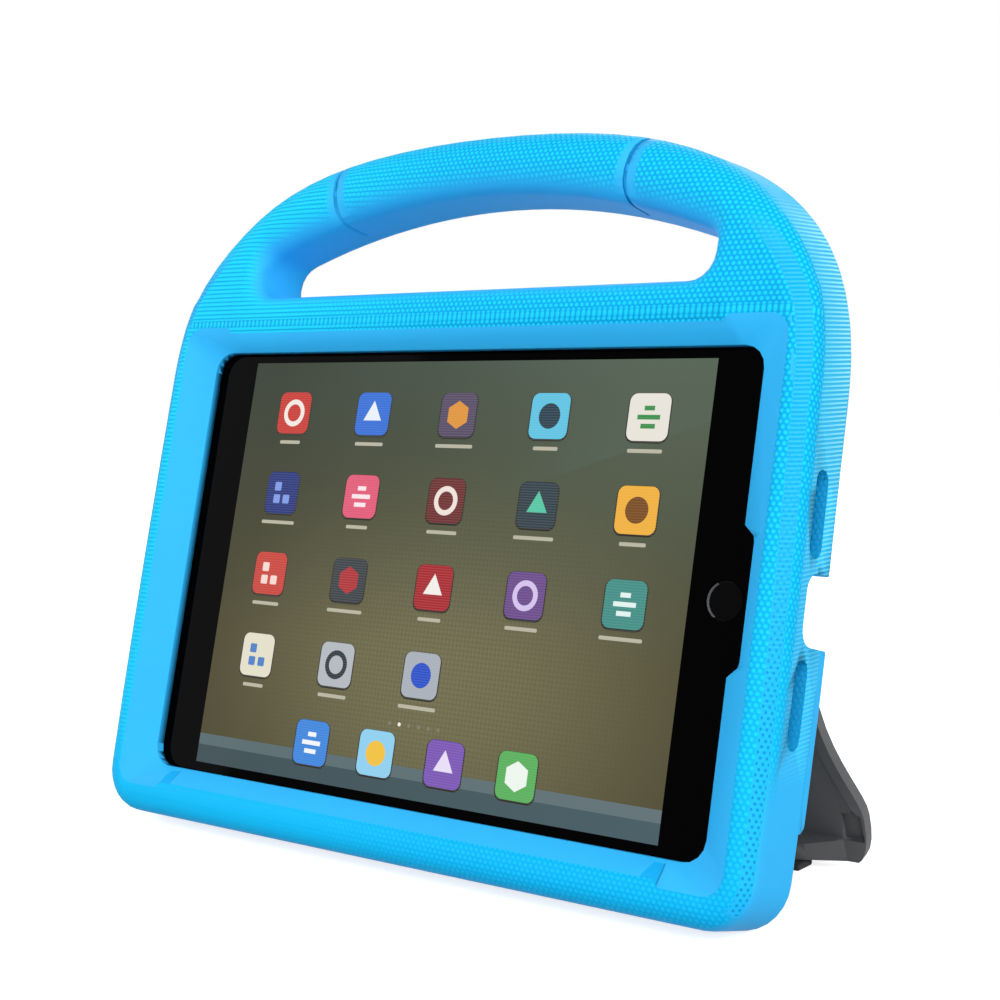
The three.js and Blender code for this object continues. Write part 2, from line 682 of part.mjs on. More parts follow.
// Outline of the stand's plate as it hangs from the pin, with a flared foot.
function standOutline(inset = 0) {
  const top = -STAND_NECK - inset;
  const half = (value) => value - inset;
  const corner = STAND_TOP_CORNER;
  const flank = new THREE.CubicBezierCurve(
    new THREE.Vector2(half(STAND_WAIST_HALF), -STAND_WAIST),
    new THREE.Vector2(half(STAND_WAIST_HALF + FLANK_EASE), -STAND_WAIST - FLANK_LEAD),
    new THREE.Vector2(half(footHalf), -STAND_FOOT + FOOT_LEAD),
    new THREE.Vector2(half(footHalf), -STAND_FOOT),
  );
  const heel = new THREE.CubicBezierCurve(
    new THREE.Vector2(half(footHalf), -STAND_FOOT),
    new THREE.Vector2(half(footHalf), -STAND_LEG + HEEL_LEAD),
    new THREE.Vector2(half(STAND_SOLE_HALF + HEEL_PULL), -STAND_LEG + HEEL_SINK),
    new THREE.Vector2(half(STAND_SOLE_HALF - HEEL_TUCK), -STAND_LEG - 1 + inset),
  );
  const right = [
    ...heel.getPoints(6).reverse(),
    ...flank.getPoints(8).reverse().slice(1),
    ...arc(half(STAND_TOP_HALF), top - corner, corner, 0, Math.PI / 2, 4),
  ];
  return [...right, ...mirrored(right)];
}

// The ledge along the stand's foot: a shelf towards the case, deepest over its middle.
function standLedge() {
  const front = -STAND_PLATE / 2 - LEDGE_REACH;
  const root = -STAND_PLATE / 2;
  const end = new THREE.CubicBezierCurve(
    new THREE.Vector2(ledgeFlat, front),
    new THREE.Vector2(ledgeFlat + LEDGE_LEAD, front),
    new THREE.Vector2(ledgeHalf - LEDGE_TAPER, root - LEDGE_TAPER_DEPTH),
    new THREE.Vector2(ledgeHalf, root),
  );
  const right = [...end.getPoints(7), new THREE.Vector2(ledgeHalf, 0)];
  const plan = [...right, ...mirrored(right)];
  const geometry = new THREE.ExtrudeGeometry(new THREE.Shape(plan), {
    depth: LEDGE_HEIGHT + 1,
    bevelEnabled: false,
  });
  return geometry.translate(0, 0, -STAND_LEG - 1);
}

function kickstand(soleTilt) {
  const [rimFront, plateFront, plateBack] = [
    -STAND_PLATE / 2 - STAND_RIM,
    -STAND_PLATE / 2,
    STAND_PLATE / 2,
  ];
  const panelBottom = -STAND_LEG + LEDGE_HEIGHT;
  const panel = standOutline(RIM_WIDTH).map(
    (p) => new THREE.Vector2(p.x, Math.max(p.y, panelBottom)),
  );
  const barrels = [-barrelEnd, barrelStart].flatMap((left) => [
    rodX(0, 0, BARREL_RADIUS, left, left + BARREL_LENGTH),
    box(left, left + BARREL_LENGTH, plateFront, plateBack, -STAND_NECK - 2, 0),
  ]);
  const pocketTop = panelBottom + CORNER_POCKET_HEIGHT;
  const pockets = [-1, 1].map((side) =>
    box(
      side * STAND_SOLE_HALF - CORNER_POCKET_WIDTH / 2,
      side * STAND_SOLE_HALF + CORNER_POCKET_WIDTH / 2,
      rimFront - 1,
      rimFront + CORNER_POCKET_DEPTH,
      panelBottom,
      pocketTop,
    ),
  );
  const sole = new THREE.BoxGeometry(3 * caseHalf, 4 * LEDGE_REACH, 20);
  sole.translate(0, 0, -10).rotateX(-soleTilt).translate(0, 0, -STAND_LEG);
  const whole = join(slab(standOutline(), rimFront, plateBack), standLedge(), ...barrels);
  const end = hingeOuter + 1;
  return toGeometry(
    cut(
      whole,
      slab(panel, rimFront - 1, plateFront),
      ...pockets,
      sole,
      rodX(0, 0, PIN_RADIUS + FIT, -end, end),
    ),
  );
}

function shellBody() {
  const ring = (y, inset) =>
    level(roundedRect(halfWidth - inset, halfHeight - inset, TABLET_CORNER - inset, 5), y);
  const steps = [0, 0.25, 0.5, 0.75, 1].map((t) => {
    const angle = (t * Math.PI) / 2;
    const y = TABLET_DEPTH - SHELL_ROUND + SHELL_ROUND * Math.sin(angle);
    return ring(y, SHELL_ROUND * (1 - Math.cos(angle)));
  });
  const outer = solid(loft([...steps.reverse(), ring(SHELL_FRONT, 0)]));
  const cavity = roundedRect(
    halfWidth - SHELL_WALL,
    halfHeight - SHELL_WALL,
    TABLET_CORNER - SHELL_WALL,
    5,
  );
  const [wallIn, wallOut] = [halfHeight - SHELL_WALL - 1, halfHeight + 1];
  const [sideIn, sideOut] = [halfWidth - OUTSIDE, halfWidth + 1];
  const keyHalf = KEY_THICKNESS / 2 + FIT;
  const muteHalf = MUTE_THICKNESS / 2 + FIT;
  const topHole = (x, length, front, back) => {
    const half = length / 2 + FIT;
    return box(x - half, x + half, keyY - front, keyY + back, wallIn, wallOut);
  };
  const powerHalf = POWER_LENGTH / 2 + FIT;
  const portHalf = PORT_DEPTH / 2 + FIT / 2;
  const grille = (side) =>
    [-3, -2, -1, 0, 1, 2, 3].map((i) =>
      rodX(keyY, side * SLOT_Z + GRILLE_PITCH * i, GRILLE_RADIUS, sideIn, sideOut, 8),
    );
  return toGeometry(
    cut(
      outer,
      slab(cavity, -1, cavityFloor),
      box(
        -sideOut,
        -sideIn,
        keyY - keyHalf,
        keyY + keyHalf,
        POWER_Z - powerHalf,
        POWER_Z + powerHalf,
      ),
      topHole(VOLUME_UP_X, VOLUME_LENGTH, keyHalf, keyHalf),
      topHole(VOLUME_DOWN_X, VOLUME_LENGTH, keyHalf, keyHalf),
      topHole(MUTE_X, MUTE_LENGTH, muteHalf, muteHalf + MUTE_TRAVEL),
      box(
        sideIn,
        sideOut,
        keyY - portHalf,
        keyY + portHalf,
        -PORT_WIDTH / 2 - FIT,
        PORT_WIDTH / 2 + FIT,
      ),
      rodX(keyY, JACK_Z, JACK_RADIUS + FIT / 2, -sideOut, -sideIn),
      rodY(CAMERA_X, CAMERA_Z, CAMERA_RING + FIT / 2, cavityFloor - 1, TABLET_DEPTH + 1),
      ...grille(1),
      ...grille(-1),
    ),
  );
}

function frontGlass() {
  const inset = SHELL_WALL + FIT;
  const plan = roundedRect(halfWidth - inset, halfHeight - inset, TABLET_CORNER - inset, 5);
  const hole = arc(HOME_X, 0, HOME_RADIUS + FIT, 0, 2 * Math.PI, 32).slice(1);
  return slab(plan, 0, GLASS_DEPTH, [hole]);
}

function chargingPort() {
  const [right, left] = [halfWidth - FIT, halfWidth - FIT - PORT_LENGTH];
  const [front, back] = [keyY - PORT_DEPTH / 2, keyY + PORT_DEPTH / 2];
  const outer = box(left, right, front, back, -PORT_WIDTH / 2, PORT_WIDTH / 2);
  const inner = box(
    left + 2 * PORT_WALL,
    right + 1,
    front + PORT_WALL,
    back - PORT_WALL,
    -PORT_WIDTH / 2 + PORT_WALL,
    PORT_WIDTH / 2 - PORT_WALL,
  );
  return toGeometry(cut(solid(outer), inner));
}

function headphoneJack() {
  const left = -halfWidth + FIT;
  const sleeve = solid(rodX(keyY, JACK_Z, JACK_RADIUS, left, left + JACK_LENGTH));
  const bore = rodX(keyY, JACK_Z, JACK_BORE, left - 1, left + JACK_LENGTH - JACK_END);
  return toGeometry(cut(sleeve, bore));
}

function cameraRing() {
  const back = TABLET_DEPTH + CAMERA_RING_PROUD;
  const ring = solid(rodY(CAMERA_X, CAMERA_Z, CAMERA_RING, cavityFloor, back));
  const hole = rodY(CAMERA_X, CAMERA_Z, CAMERA_LENS + FIT / 2, cavityFloor - 1, back + 1);
  return toGeometry(cut(ring, hole));
}

const finishes = {
  foam: { color: 0x1fb4f5, roughness: 0.75, metalness: 0 },
  standPlastic: { color: 0x404042, roughness: 0.5, metalness: 0 },
  rubber: { color: 0x2a2a2b, roughness: 0.85, metalness: 0 },
  steel: { color: 0xb9bcc0, roughness: 0.35, metalness: 1 },
  aluminium: { color: 0x55585e, roughness: 0.4, metalness: 0.9 },
  glass: { color: 0x050506, roughness: 0.08, metalness: 0 },
  screen: { color: 0x555038, roughness: 0.3, metalness: 0 },
  button: { color: 0x0a0a0b, roughness: 0.25, metalness: 0 },
  cell: { color: 0x1c1d20, roughness: 0.6, metalness: 0 },
  board: { color: 0x1d3f2a, roughness: 0.6, metalness: 0 },
};

function piece(name, geometry, finish) {
  const mesh = new THREE.Mesh(geometry, new THREE.MeshStandardMaterial(finishes[finish]));
  mesh.name = name;
  return mesh;
}

function tabletPieces() {
  const keyRight = -halfWidth - KEY_PROUD + KEY_DEPTH;
  const [keyFront, keyBack] = [keyY - KEY_THICKNESS / 2, keyY + KEY_THICKNESS / 2];
  const sideKey = (x, length, thickness) =>
    box(
      x - length / 2,
      x + length / 2,
      keyY - thickness / 2,
      keyY + thickness / 2,
      halfHeight + KEY_PROUD - KEY_DEPTH,
      halfHeight + KEY_PROUD,
    );
  const power = box(
    -halfWidth - KEY_PROUD,
    keyRight,
    keyFront,
    keyBack,
    POWER_Z - POWER_LENGTH / 2,
    POWER_Z + POWER_LENGTH / 2,
  );
  const display = box(
    -DISPLAY_WIDTH / 2,
    DISPLAY_WIDTH / 2,
    displayFront,
    displayBack,
    -DISPLAY_HEIGHT / 2,
    DISPLAY_HEIGHT / 2,
  );
  const innerFront = displayBack + FIT;
  const innerBack = cavityFloor - FIT;
  const batteryLeft = -BATTERY_WIDTH / 2 - BATTERY_SHIFT;
  const boardLeft = batteryLeft + BATTERY_WIDTH + BOARD_GAP;
  const battery = box(
    batteryLeft,
    batteryLeft + BATTERY_WIDTH,
    innerFront,
    innerBack,
    -BATTERY_HEIGHT / 2,
    BATTERY_HEIGHT / 2,
  );
  const board = box(
    boardLeft,
    boardLeft + BOARD_WIDTH,
    innerBack - BOARD_DEPTH,
    innerBack,
    -BOARD_HEIGHT / 2,
    BOARD_HEIGHT / 2,
  );
  const switchFront = HOME_SINK + HOME_DEPTH + HOME_TRAVEL + FIT;
  const homeSwitch = box(
    HOME_X - HOME_SWITCH / 2,
    HOME_X + HOME_SWITCH / 2 - HOME_SWITCH_CUT,
    switchFront,
    innerBack,
    -HOME_SWITCH / 2,
    HOME_SWITCH / 2,
  );
  const speakerRight = halfWidth - SHELL_WALL - FIT;
  const speaker = (side) =>
    box(
      speakerRight - SPEAKER_WIDTH,
      speakerRight,
      keyY - SPEAKER_DEPTH / 2,
      keyY + SPEAKER_DEPTH / 2,
      side * SLOT_Z - SPEAKER_LENGTH / 2,
      side * SLOT_Z + SPEAKER_LENGTH / 2,
    );
  const bodyFront = cavityFloor - FIT - SPEAKER_DEPTH;
  const cameraBody = box(
    CAMERA_X - CAMERA_BODY / 2,
    CAMERA_X + CAMERA_BODY / 2 - CAMERA_BODY_CUT,
    bodyFront,
    cavityFloor - FIT,
    CAMERA_Z - CAMERA_BODY / 2,
    CAMERA_Z + CAMERA_BODY / 2,
  );
  return [
    piece('tablet_back_shell', shellBody(), 'aluminium'),
    piece('front_glass', frontGlass(), 'glass'),
    piece('display_panel', display, 'screen'),
    piece(
      'home_button',
      rodY(HOME_X, 0, HOME_RADIUS, HOME_SINK, HOME_SINK + HOME_DEPTH, HOME_RADIUS, 32),
      'button',
    ),
    piece('home_switch', homeSwitch, 'cell'),
    piece(
      'front_camera',
      rodY(FACE_CAMERA_X, 0, FACE_CAMERA_RADIUS, displayFront, displayBack),
      'button',
    ),
    piece('rear_camera_ring', cameraRing(), 'aluminium'),
    piece(
      'rear_camera_lens',
      rodY(CAMERA_X, CAMERA_Z, CAMERA_LENS, cavityFloor, TABLET_DEPTH),
      'glass',
    ),
    piece('rear_camera_module', cameraBody, 'cell'),
    piece('battery_pack', battery, 'cell'),
    piece('logic_board', board, 'board'),
    piece('speaker_upper', speaker(1), 'cell'),
    piece('speaker_lower', speaker(-1), 'cell'),
    piece('charging_port', chargingPort(), 'steel'),
    piece('headphone_jack', headphoneJack(), 'steel'),
    piece('power_button', power, 'aluminium'),
    piece('volume_up_button', sideKey(VOLUME_UP_X, VOLUME_LENGTH, KEY_THICKNESS), 'aluminium'),
    piece('volume_down_button', sideKey(VOLUME_DOWN_X, VOLUME_LENGTH, KEY_THICKNESS), 'aluminium'),
    piece('mute_switch', sideKey(MUTE_X, MUTE_LENGTH, MUTE_THICKNESS), 'aluminium'),
  ];
}

// Height of a point of the upright drawing above the middle of the glass, once the case leans.
function leanedHeight(y, z) {
  return z * Math.cos(lean) - y * Math.sin(lean);
}

// The case stands on the rounded back edge of its foot.
function floorHeight() {
  const y = caseBack - BACK_ROUND + BACK_ROUND * Math.sin(lean);
  const z = caseBottom + BACK_ROUND - BACK_ROUND * Math.cos(lean);
  return leanedHeight(y, z);
}

// The leg's angle from upright at which its pads reach the floor.
function legTilt() {
  const drop = leanedHeight(hingeY, HINGE_Z) - floorHeight() - PAD_DEPTH - FIT;
  return Math.acos(drop / STAND_LEG);
}

function standGroup() {
  const soleTilt = legTilt();
  const group = new THREE.Group();
  group.position.set(0, hingeY, HINGE_Z);
  group.rotation.x = soleTilt + lean;
  group.add(piece('kickstand', kickstand(soleTilt), 'standPlastic'));
  for (const [name, side] of [['foot_pad_left', -1], ['foot_pad_right', 1]]) {
    const pad = piece(name, new THREE.BoxGeometry(PAD_LENGTH, PAD_WIDTH, PAD_DEPTH), 'rubber');
    const reach = PAD_FRONT - PAD_WIDTH / 2;
    const along = new THREE.Vector3(0, -Math.cos(soleTilt), Math.sin(soleTilt));
    const down = new THREE.Vector3(0, -Math.sin(soleTilt), -Math.cos(soleTilt));
    pad.position.set(side * (ledgeHalf - PAD_INSET - PAD_LENGTH / 2), 0, -STAND_LEG);
    pad.position.addScaledVector(along, reach).addScaledVector(down, FIT + PAD_DEPTH / 2);
    pad.rotation.x = -soleTilt;
    group.add(pad);
  }
  return group;
}

function casePieces() {
  const pieces = [
    piece('foam_body', foamBody(), 'foam'),
    piece('retainer_plate', retainerPlate(), 'standPlastic'),
    piece('stand_base', standBase(), 'standPlastic'),
    piece('hinge_pin_left', rodX(hingeY, HINGE_Z, PIN_RADIUS, -hingeOuter, -HINGE_INNER), 'steel'),
    piece('hinge_pin_right', rodX(hingeY, HINGE_Z, PIN_RADIUS, HINGE_INNER, hingeOuter), 'steel'),
  ];
  bossPlaces().forEach(({ x, z }, index) => {
    const screw = piece(`base_screw_${index + 1}`, baseScrew(), 'steel');
    screw.position.set(x, pocketFloor + 1.2 * FIT, z);
    pieces.push(screw);
  });
  return pieces;
}

const upright = new THREE.Group();
upright.add(...tabletPieces(), ...casePieces(), standGroup());
upright.rotation.x = -lean;

// The part's own origin: on the surface that it stands on, under the middle of its outline.
const tabletCase = new THREE.Group();
tabletCase.add(upright);
tabletCase.updateMatrixWorld(true);
const bounds = new THREE.Box3().setFromObject(tabletCase, true);
upright.position.y -= (bounds.min.y + bounds.max.y) / 2;
upright.position.z -= bounds.min.z;

export default tabletCase;
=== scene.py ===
"""Studio scene of a kids' tablet case that holds a tablet and leans on its kickstand.

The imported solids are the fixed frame. Smooth copies stand for the foam body, the kickstand, its
pads and the tablet's shell. A new key stands for the home button, and the picture on the screen is
laid on the cover glass.

Sizes are in millimetres in the case's own upright frame, unless a name ends in _m: X to the right,
Y from the glass towards the back, Z up, with the origin in the middle of the glass.
"""

from __future__ import annotations

import json
import logging
import math
from dataclasses import dataclass, field
from enum import Enum

import bpy
import numpy as np
from mathutils import Matrix, Vector

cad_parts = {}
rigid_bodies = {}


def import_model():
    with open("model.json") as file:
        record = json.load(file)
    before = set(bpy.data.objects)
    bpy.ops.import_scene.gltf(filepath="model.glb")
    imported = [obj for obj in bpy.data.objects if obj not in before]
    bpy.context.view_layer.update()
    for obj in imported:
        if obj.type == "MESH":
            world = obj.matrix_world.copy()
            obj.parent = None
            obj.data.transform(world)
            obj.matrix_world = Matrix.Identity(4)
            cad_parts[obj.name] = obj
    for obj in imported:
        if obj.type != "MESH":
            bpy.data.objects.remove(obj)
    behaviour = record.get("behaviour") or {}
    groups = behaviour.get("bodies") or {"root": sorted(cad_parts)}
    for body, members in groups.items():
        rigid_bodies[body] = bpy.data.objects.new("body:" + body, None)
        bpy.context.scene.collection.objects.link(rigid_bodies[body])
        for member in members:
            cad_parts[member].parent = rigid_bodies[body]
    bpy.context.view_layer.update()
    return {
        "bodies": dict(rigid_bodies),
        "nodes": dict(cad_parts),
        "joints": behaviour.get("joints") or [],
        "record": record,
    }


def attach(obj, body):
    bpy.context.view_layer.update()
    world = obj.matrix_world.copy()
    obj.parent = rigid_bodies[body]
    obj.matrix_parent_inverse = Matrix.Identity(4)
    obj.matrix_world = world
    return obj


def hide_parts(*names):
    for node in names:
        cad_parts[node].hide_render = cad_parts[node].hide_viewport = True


LOG = logging.getLogger("tablet_case")
MM = 0.001
CASE_BODY = "case_with_tablet"
STAND_BODY = "stand"

Socket = bpy.types.NodeSocket


def linear(code: str) -> tuple[float, float, float, float]:
    """Convert an sRGB colour code to the linear colour that a shader takes.

    Args:
        code: The colour as "#rrggbb".

    Returns:
        Linear red, green and blue, and an alpha of 1.
    """
    parts = [int(code[i : i + 2], 16) / 255 for i in (1, 3, 5)]
    red, green, blue = (
        part / 12.92 if part <= 0.04045 else ((part + 0.055) / 1.055) ** 2.4 for part in parts
    )
    return (red, green, blue, 1.0)


@dataclass(frozen=True)
class CaseFrame:
    """The upright frame that the case is measured in, and its place in the scene."""

    lean: float = math.radians(14.3)
    shift_y: float = -15.6239
    shift_z: float = 78.0543

    def to_scene(self) -> Matrix:
        """Return the matrix from case millimetres to scene metres."""
        place = Matrix.Translation((0.0, self.shift_y * MM, self.shift_z * MM))
        return place @ Matrix.Rotation(-self.lean, 4, "X") @ Matrix.Scale(MM, 4)

    def to_case(self) -> Matrix:
        """Return the matrix from scene metres to case millimetres."""
        return self.to_scene().inverted()


CASE = CaseFrame()


class Shader:
    """A node tree of a material or the world, with short calls for the nodes used in several."""

    def __init__(self, name: str, world: bool = False) -> None:
        """Start a material, or a world, whose node tree is empty."""
        self.owner = (bpy.data.worlds if world else bpy.data.materials).new(name)
        self.owner.use_nodes = True
        self.tree = self.owner.node_tree
        self.tree.nodes.clear()

    def node(self, kind: str, inputs: dict | None = None, **settings: object) -> bpy.types.Node:
        """Add a node with its settings and links.

        Args:
            kind: The node's type name.
            inputs: Values or sockets by input name or index.
            **settings: Attributes of the node itself.

        Returns:
            The new node.
        """
        node = self.tree.nodes.new(kind)
        for key, value in settings.items():
            setattr(node, key, value)
        for key, value in (inputs or {}).items():
            if isinstance(value, bpy.types.NodeSocket):
                self.tree.links.new(value, node.inputs[key])
            else:
                node.inputs[key].default_value = value
        return node

    def math(self, operation: str, *values: Socket | float) -> Socket:
        """Return the result of one Math node."""
        return self.node("ShaderNodeMath", dict(enumerate(values)), operation=operation).outputs[0]

    def product(self, *values: Socket | float) -> Socket:
        """Return the product of several masks."""
        whole = values[0]
        for value in values[1:]:
            whole = self.math("MULTIPLY", whole, value)
        return whole

    def rise(self, value: Socket, low: float, high: float) -> Socket:
        """Return a smooth step from 0 at low to 1 at high; it falls where high is below low."""
        inputs = {"Value": value, "From Min": low, "From Max": high}
        return self.node(
            "ShaderNodeMapRange", inputs, interpolation_type="SMOOTHSTEP", clamp=True
        ).outputs["Result"]

    def scaled(self, value: Socket, low: float, high: float, start: float, end: float) -> Socket:
        """Return a value mapped linearly from low..high to start..end, and held at both ends."""
        inputs = {"Value": value, "From Min": low, "From Max": high, "To Min": start, "To Max": end}
        return self.node("ShaderNodeMapRange", inputs, clamp=True).outputs["Result"]

    def mixed(
        self, factor: Socket | float, first: Socket | tuple, second: Socket | tuple
    ) -> Socket:
        """Return two colours mixed."""
        inputs = {0: factor, 6: first, 7: second}
        return self.node("ShaderNodeMix", inputs, data_type="RGBA").outputs[2]

    def case_place(self) -> Socket:
        """Return the shaded point in case millimetres."""
        turned = CASE.to_case()
        inputs = {
            "Vector": self.node("ShaderNodeTexCoord").outputs["Object"],
            "Location": turned.to_translation(),
            "Rotation": (CASE.lean, 0.0, 0.0),
            "Scale": (1 / MM, 1 / MM, 1 / MM),
        }
        return self.node("ShaderNodeMapping", inputs, vector_type="POINT").outputs[0]

    def parts(self, vector: Socket) -> list[Socket]:
        """Return the X, Y and Z of a vector."""
        return list(self.node("ShaderNodeSeparateXYZ", {0: vector}).outputs)

    def attribute(self, name: str) -> Socket:
        """Return a number that the mesh carries."""
        return self.node("ShaderNodeAttribute", attribute_name=name).outputs["Fac"]

    def noise(self, place: Socket, per_mm: float, detail: float = 2.0) -> Socket:
        """Return soft noise from 0 to 1, with that many features to a millimetre."""
        inputs = {"Vector": place, "Scale": per_mm, "Detail": detail}
        return self.node("ShaderNodeTexNoise", inputs).outputs["Fac"]

    def bump(self, height: Socket, strength: float = 1.0) -> Socket:
        """Return the normal of a surface whose height is in millimetres."""
        inputs = {"Height": height, "Distance": MM, "Strength": strength}
        return self.node("ShaderNodeBump", inputs).outputs["Normal"]

    def finish(self, **sockets: Socket | float | tuple) -> bpy.types.Material:
        """End the tree in a Principled shader.

        Args:
            **sockets: The shader's inputs, with underscores for the spaces in their names.

        Returns:
            The finished material.
        """
        inputs = {key.replace("_", " "): value for key, value in sockets.items()}
        surface = self.node("ShaderNodeBsdfPrincipled", inputs)
        self.node("ShaderNodeOutputMaterial", {"Surface": surface.outputs[0]})
        return self.owner

    def seen(self) -> Socket:
        """Return 1 for what the camera sees, straight, mirrored or through something, else 0."""
        path = self.node("ShaderNodeLightPath").outputs
        direct = self.math("MAXIMUM", path["Is Camera Ray"], path["Is Glossy Ray"])
        return self.math("MAXIMUM", direct, path["Is Transmission Ray"])


@dataclass
class SkinPattern:
    """Where each part of the foam's moulded pattern lies: masks from 0 to 1, unless it says.

    Attributes:
        place: The shaded point in case millimetres.
        engraved: The engraved skin, as against the plain skin.
        hollow: The slots' inside.
        crisp: How strongly the dots stand out.
        dot: The dots' height.
        distance: The distance to the nearest dot's middle in millimetres.
        dotted: Where the dots are.
        ladder: The band of fine bars up each side.
        rungs: The lines between the band's bars.
        pits: The small pits in the band low down.
        ribbed: Where the wall's ribs are.
        line: The lines between the ribs.
        valley: The distance from the grip's groove in millimetres.
        step: The small arched step in the bevel.
    """

    place: Socket
    engraved: Socket
    hollow: Socket
    crisp: Socket
    dot: Socket
    distance: Socket
    dotted: Socket
    ladder: Socket
    rungs: Socket
    pits: Socket
    ribbed: Socket
    line: Socket
    valley: Socket
    step: Socket


@dataclass(frozen=True)
class FoamFinish:
    """Closed-cell EVA foam, dyed through and pressed in a mould.

    The mould's front is engraved with staggered dots and its sides with ribs. A band of fine bars
    lies between them on the rounded edge. The skin is satin, and plain where the mould is plain.
    """

    plain: str = "#37b4f8"
    raised: str = "#1cd4ff"
    sunk: str = "#04a9ec"
    bar: str = "#38bcf5"
    low_bar: str = "#1fb9f7"
    pit: str = "#0a86c8"
    # The ribs' two colours are lighter than the plain skin as a painted sheen, and the near-white
    # one is a painted highlight.
    sheen_lit_rib: str = "#62dafb"
    between: str = "#30baf0"
    painted_rib_highlight: str = "#b4fbff"
    # A dark blue used for painted shade in the slots and along the grip's groove.
    dark_shade_and_marks: str = "#0d7fb8"

    dot_pitch: float = 1.64
    row_pitch: float = 1.31
    dot_radius: float = 0.74
    dot_rise: float = 0.16
    rib_pitch: float = 1.08
    rib_start: float = 10.7
    rib_depth: float = 0.12
    rung_depth: float = 0.08
    pit_depth: float = 0.1
    tall_middle: float = 70.3
    step_middle: float = 83.6
    step_foot: float = -69.6
    step_head: float = -63.8
    step_depth: float = 0.25
    groove_foot: float = 92.9
    groove_head: float = 128.5
    groove_x: float = 49.6
    groove_bow: float = 6.0
    groove_depth: float = 0.45
    grain_depth: float = 0.02
    ladder_foot: float = -47.0
    ladder_head: float = 66.0

    def tall_dots(self, shader: Shader, u: Socket, z: Socket) -> tuple[Socket, Socket]:
        """Return the one row of tall dots over the window, and the mask of that row."""
        column = shader.math("FRACT", shader.math("DIVIDE", u, self.dot_pitch))
        across = shader.math("MULTIPLY", shader.math("SUBTRACT", column, 0.5), self.dot_pitch)
        up = shader.math("MULTIPLY", shader.math("SUBTRACT", z, self.tall_middle), 0.55)
        square = shader.math("MULTIPLY_ADD", across, across, shader.math("MULTIPLY", up, up))
        tall = shader.rise(shader.math("SQRT", square), self.dot_radius, 0.4)
        row = shader.math("ABSOLUTE", shader.math("SUBTRACT", z, self.tall_middle))
        return tall, shader.rise(row, 1.1, 0.98)

    def step_mark(self, shader: Shader, x: Socket, z: Socket) -> Socket:
        """Return the mask of the small arched step in the bevel beside each lower corner."""
        aside = shader.math("SUBTRACT", shader.math("ABSOLUTE", x), self.step_middle)
        aside = shader.math("ABSOLUTE", aside)
        up = shader.scaled(z, self.step_foot, self.step_head, 0.0, 1.0)
        arch = shader.rise(shader.math("MULTIPLY_ADD", up, 1.3, aside), 3.0, 2.6)
        legs = shader.rise(shader.math("MULTIPLY_ADD", up, 2.2, aside), 0.6, 1.2)
        above = shader.rise(z, self.step_foot - 0.8, self.step_foot - 0.2)
        below = shader.rise(z, self.step_head + 0.4, self.step_head - 0.1)
        return shader.product(arch, legs, above, below)

    def crispness(self, shader: Shader, x: Socket, z: Socket) -> Socket:
        """Return how strongly the dots stand out: less low down, and least at the left foot."""
        low_left = shader.product(shader.rise(z, -52.0, -64.0), shader.rise(x, 40.0, -50.0))
        return shader.product(
            shader.scaled(z, -70.0, 60.0, 0.42, 1.0), shader.scaled(low_left, 0.0, 1.0, 1.0, 0.08)
        )

    def dots(
        self, shader: Shader, u: Socket, v: Socket, narrow: Socket
    ) -> tuple[Socket, Socket]:
        """Return the height of the staggered dots from 0 to 1, and the distance to each middle.

        Args:
            shader: The foam's node tree.
            u: Across the skin in millimetres.
            v: Up the skin in millimetres.
            narrow: 1 for round dots, and less for dots that run together in rows.

        Returns:
            The height, and the distance in millimetres.
        """
        row = shader.math("DIVIDE", v, self.row_pitch)
        odd = shader.math("FLOORED_MODULO", shader.math("FLOOR", row), 2.0)
        column = shader.math("MULTIPLY_ADD", odd, 0.5, shader.math("DIVIDE", u, self.dot_pitch))
        across = shader.math("SUBTRACT", shader.math("FRACT", column), 0.5)
        up = shader.math("SUBTRACT", shader.math("FRACT", row), 0.5)
        across = shader.math("MULTIPLY", across, self.dot_pitch)
        up = shader.math("MULTIPLY", up, self.row_pitch)
        across = shader.math("MULTIPLY", across, narrow)
        square = shader.math("MULTIPLY_ADD", across, across, shader.math("MULTIPLY", up, up))
        distance = shader.math("SQRT", square)
        return shader.rise(distance, self.dot_radius, 0.3), distance

    def ribs(self, shader: Shader, y: Socket, z: Socket) -> Socket:
        """Return 1 on the lines between the ribs and 0 on the ribs, level as the case leans."""
        level = shader.math("MULTIPLY_ADD", y, -math.tan(CASE.lean), z)
        row = shader.math("DIVIDE", level, self.rib_pitch)
        middle = shader.math("ABSOLUTE", shader.math("SUBTRACT", shader.math("FRACT", row), 0.5))
        return shader.rise(middle, 0.36, 0.16)

    def groove(self, shader: Shader, x: Socket, z: Socket) -> Socket:
        """Return the distance from the grip's groove, and a large one off the grip."""
        along = shader.scaled(z, self.groove_foot, self.groove_head, 0.0, 1.0)
        square = shader.math("MULTIPLY", along, along)
        line = shader.math("MULTIPLY_ADD", square, self.groove_bow, self.groove_x)
        aside = shader.math("SUBTRACT", shader.math("ABSOLUTE", x), line)
        off_grip = shader.rise(z, 91.0, 86.0)
        return shader.math("MULTIPLY_ADD", off_grip, 20.0, shader.math("ABSOLUTE", aside))

    def ladder(
        self, shader: Shader, reach: Socket, z: Socket, flank: Socket, engraved: Socket
    ) -> Socket:
        """Return the mask of the band of fine bars on the rounded edge.

        Args:
            shader: The foam's node tree.
            reach: The distance round the edge from the front face in millimetres.
            z: The height in millimetres.
            flank: 1 where the outline faces left or right.
            engraved: 1 on the engraved skin.

        Returns:
            1 on the band and 0 off it.
        """
        near, far = (
            shader.math(
                "SUBTRACT", reach, shader.scaled(z, self.ladder_foot, self.ladder_head, low, high)
            )
            for low, high in ((3.0, 1.5), (6.5, 5.6))
        )
        return shader.product(
            shader.rise(near, -0.2, 0.3),
            shader.rise(far, 0.3, -0.2),
            shader.rise(z, 98.0, 80.0),
            flank,
            engraved,
        )

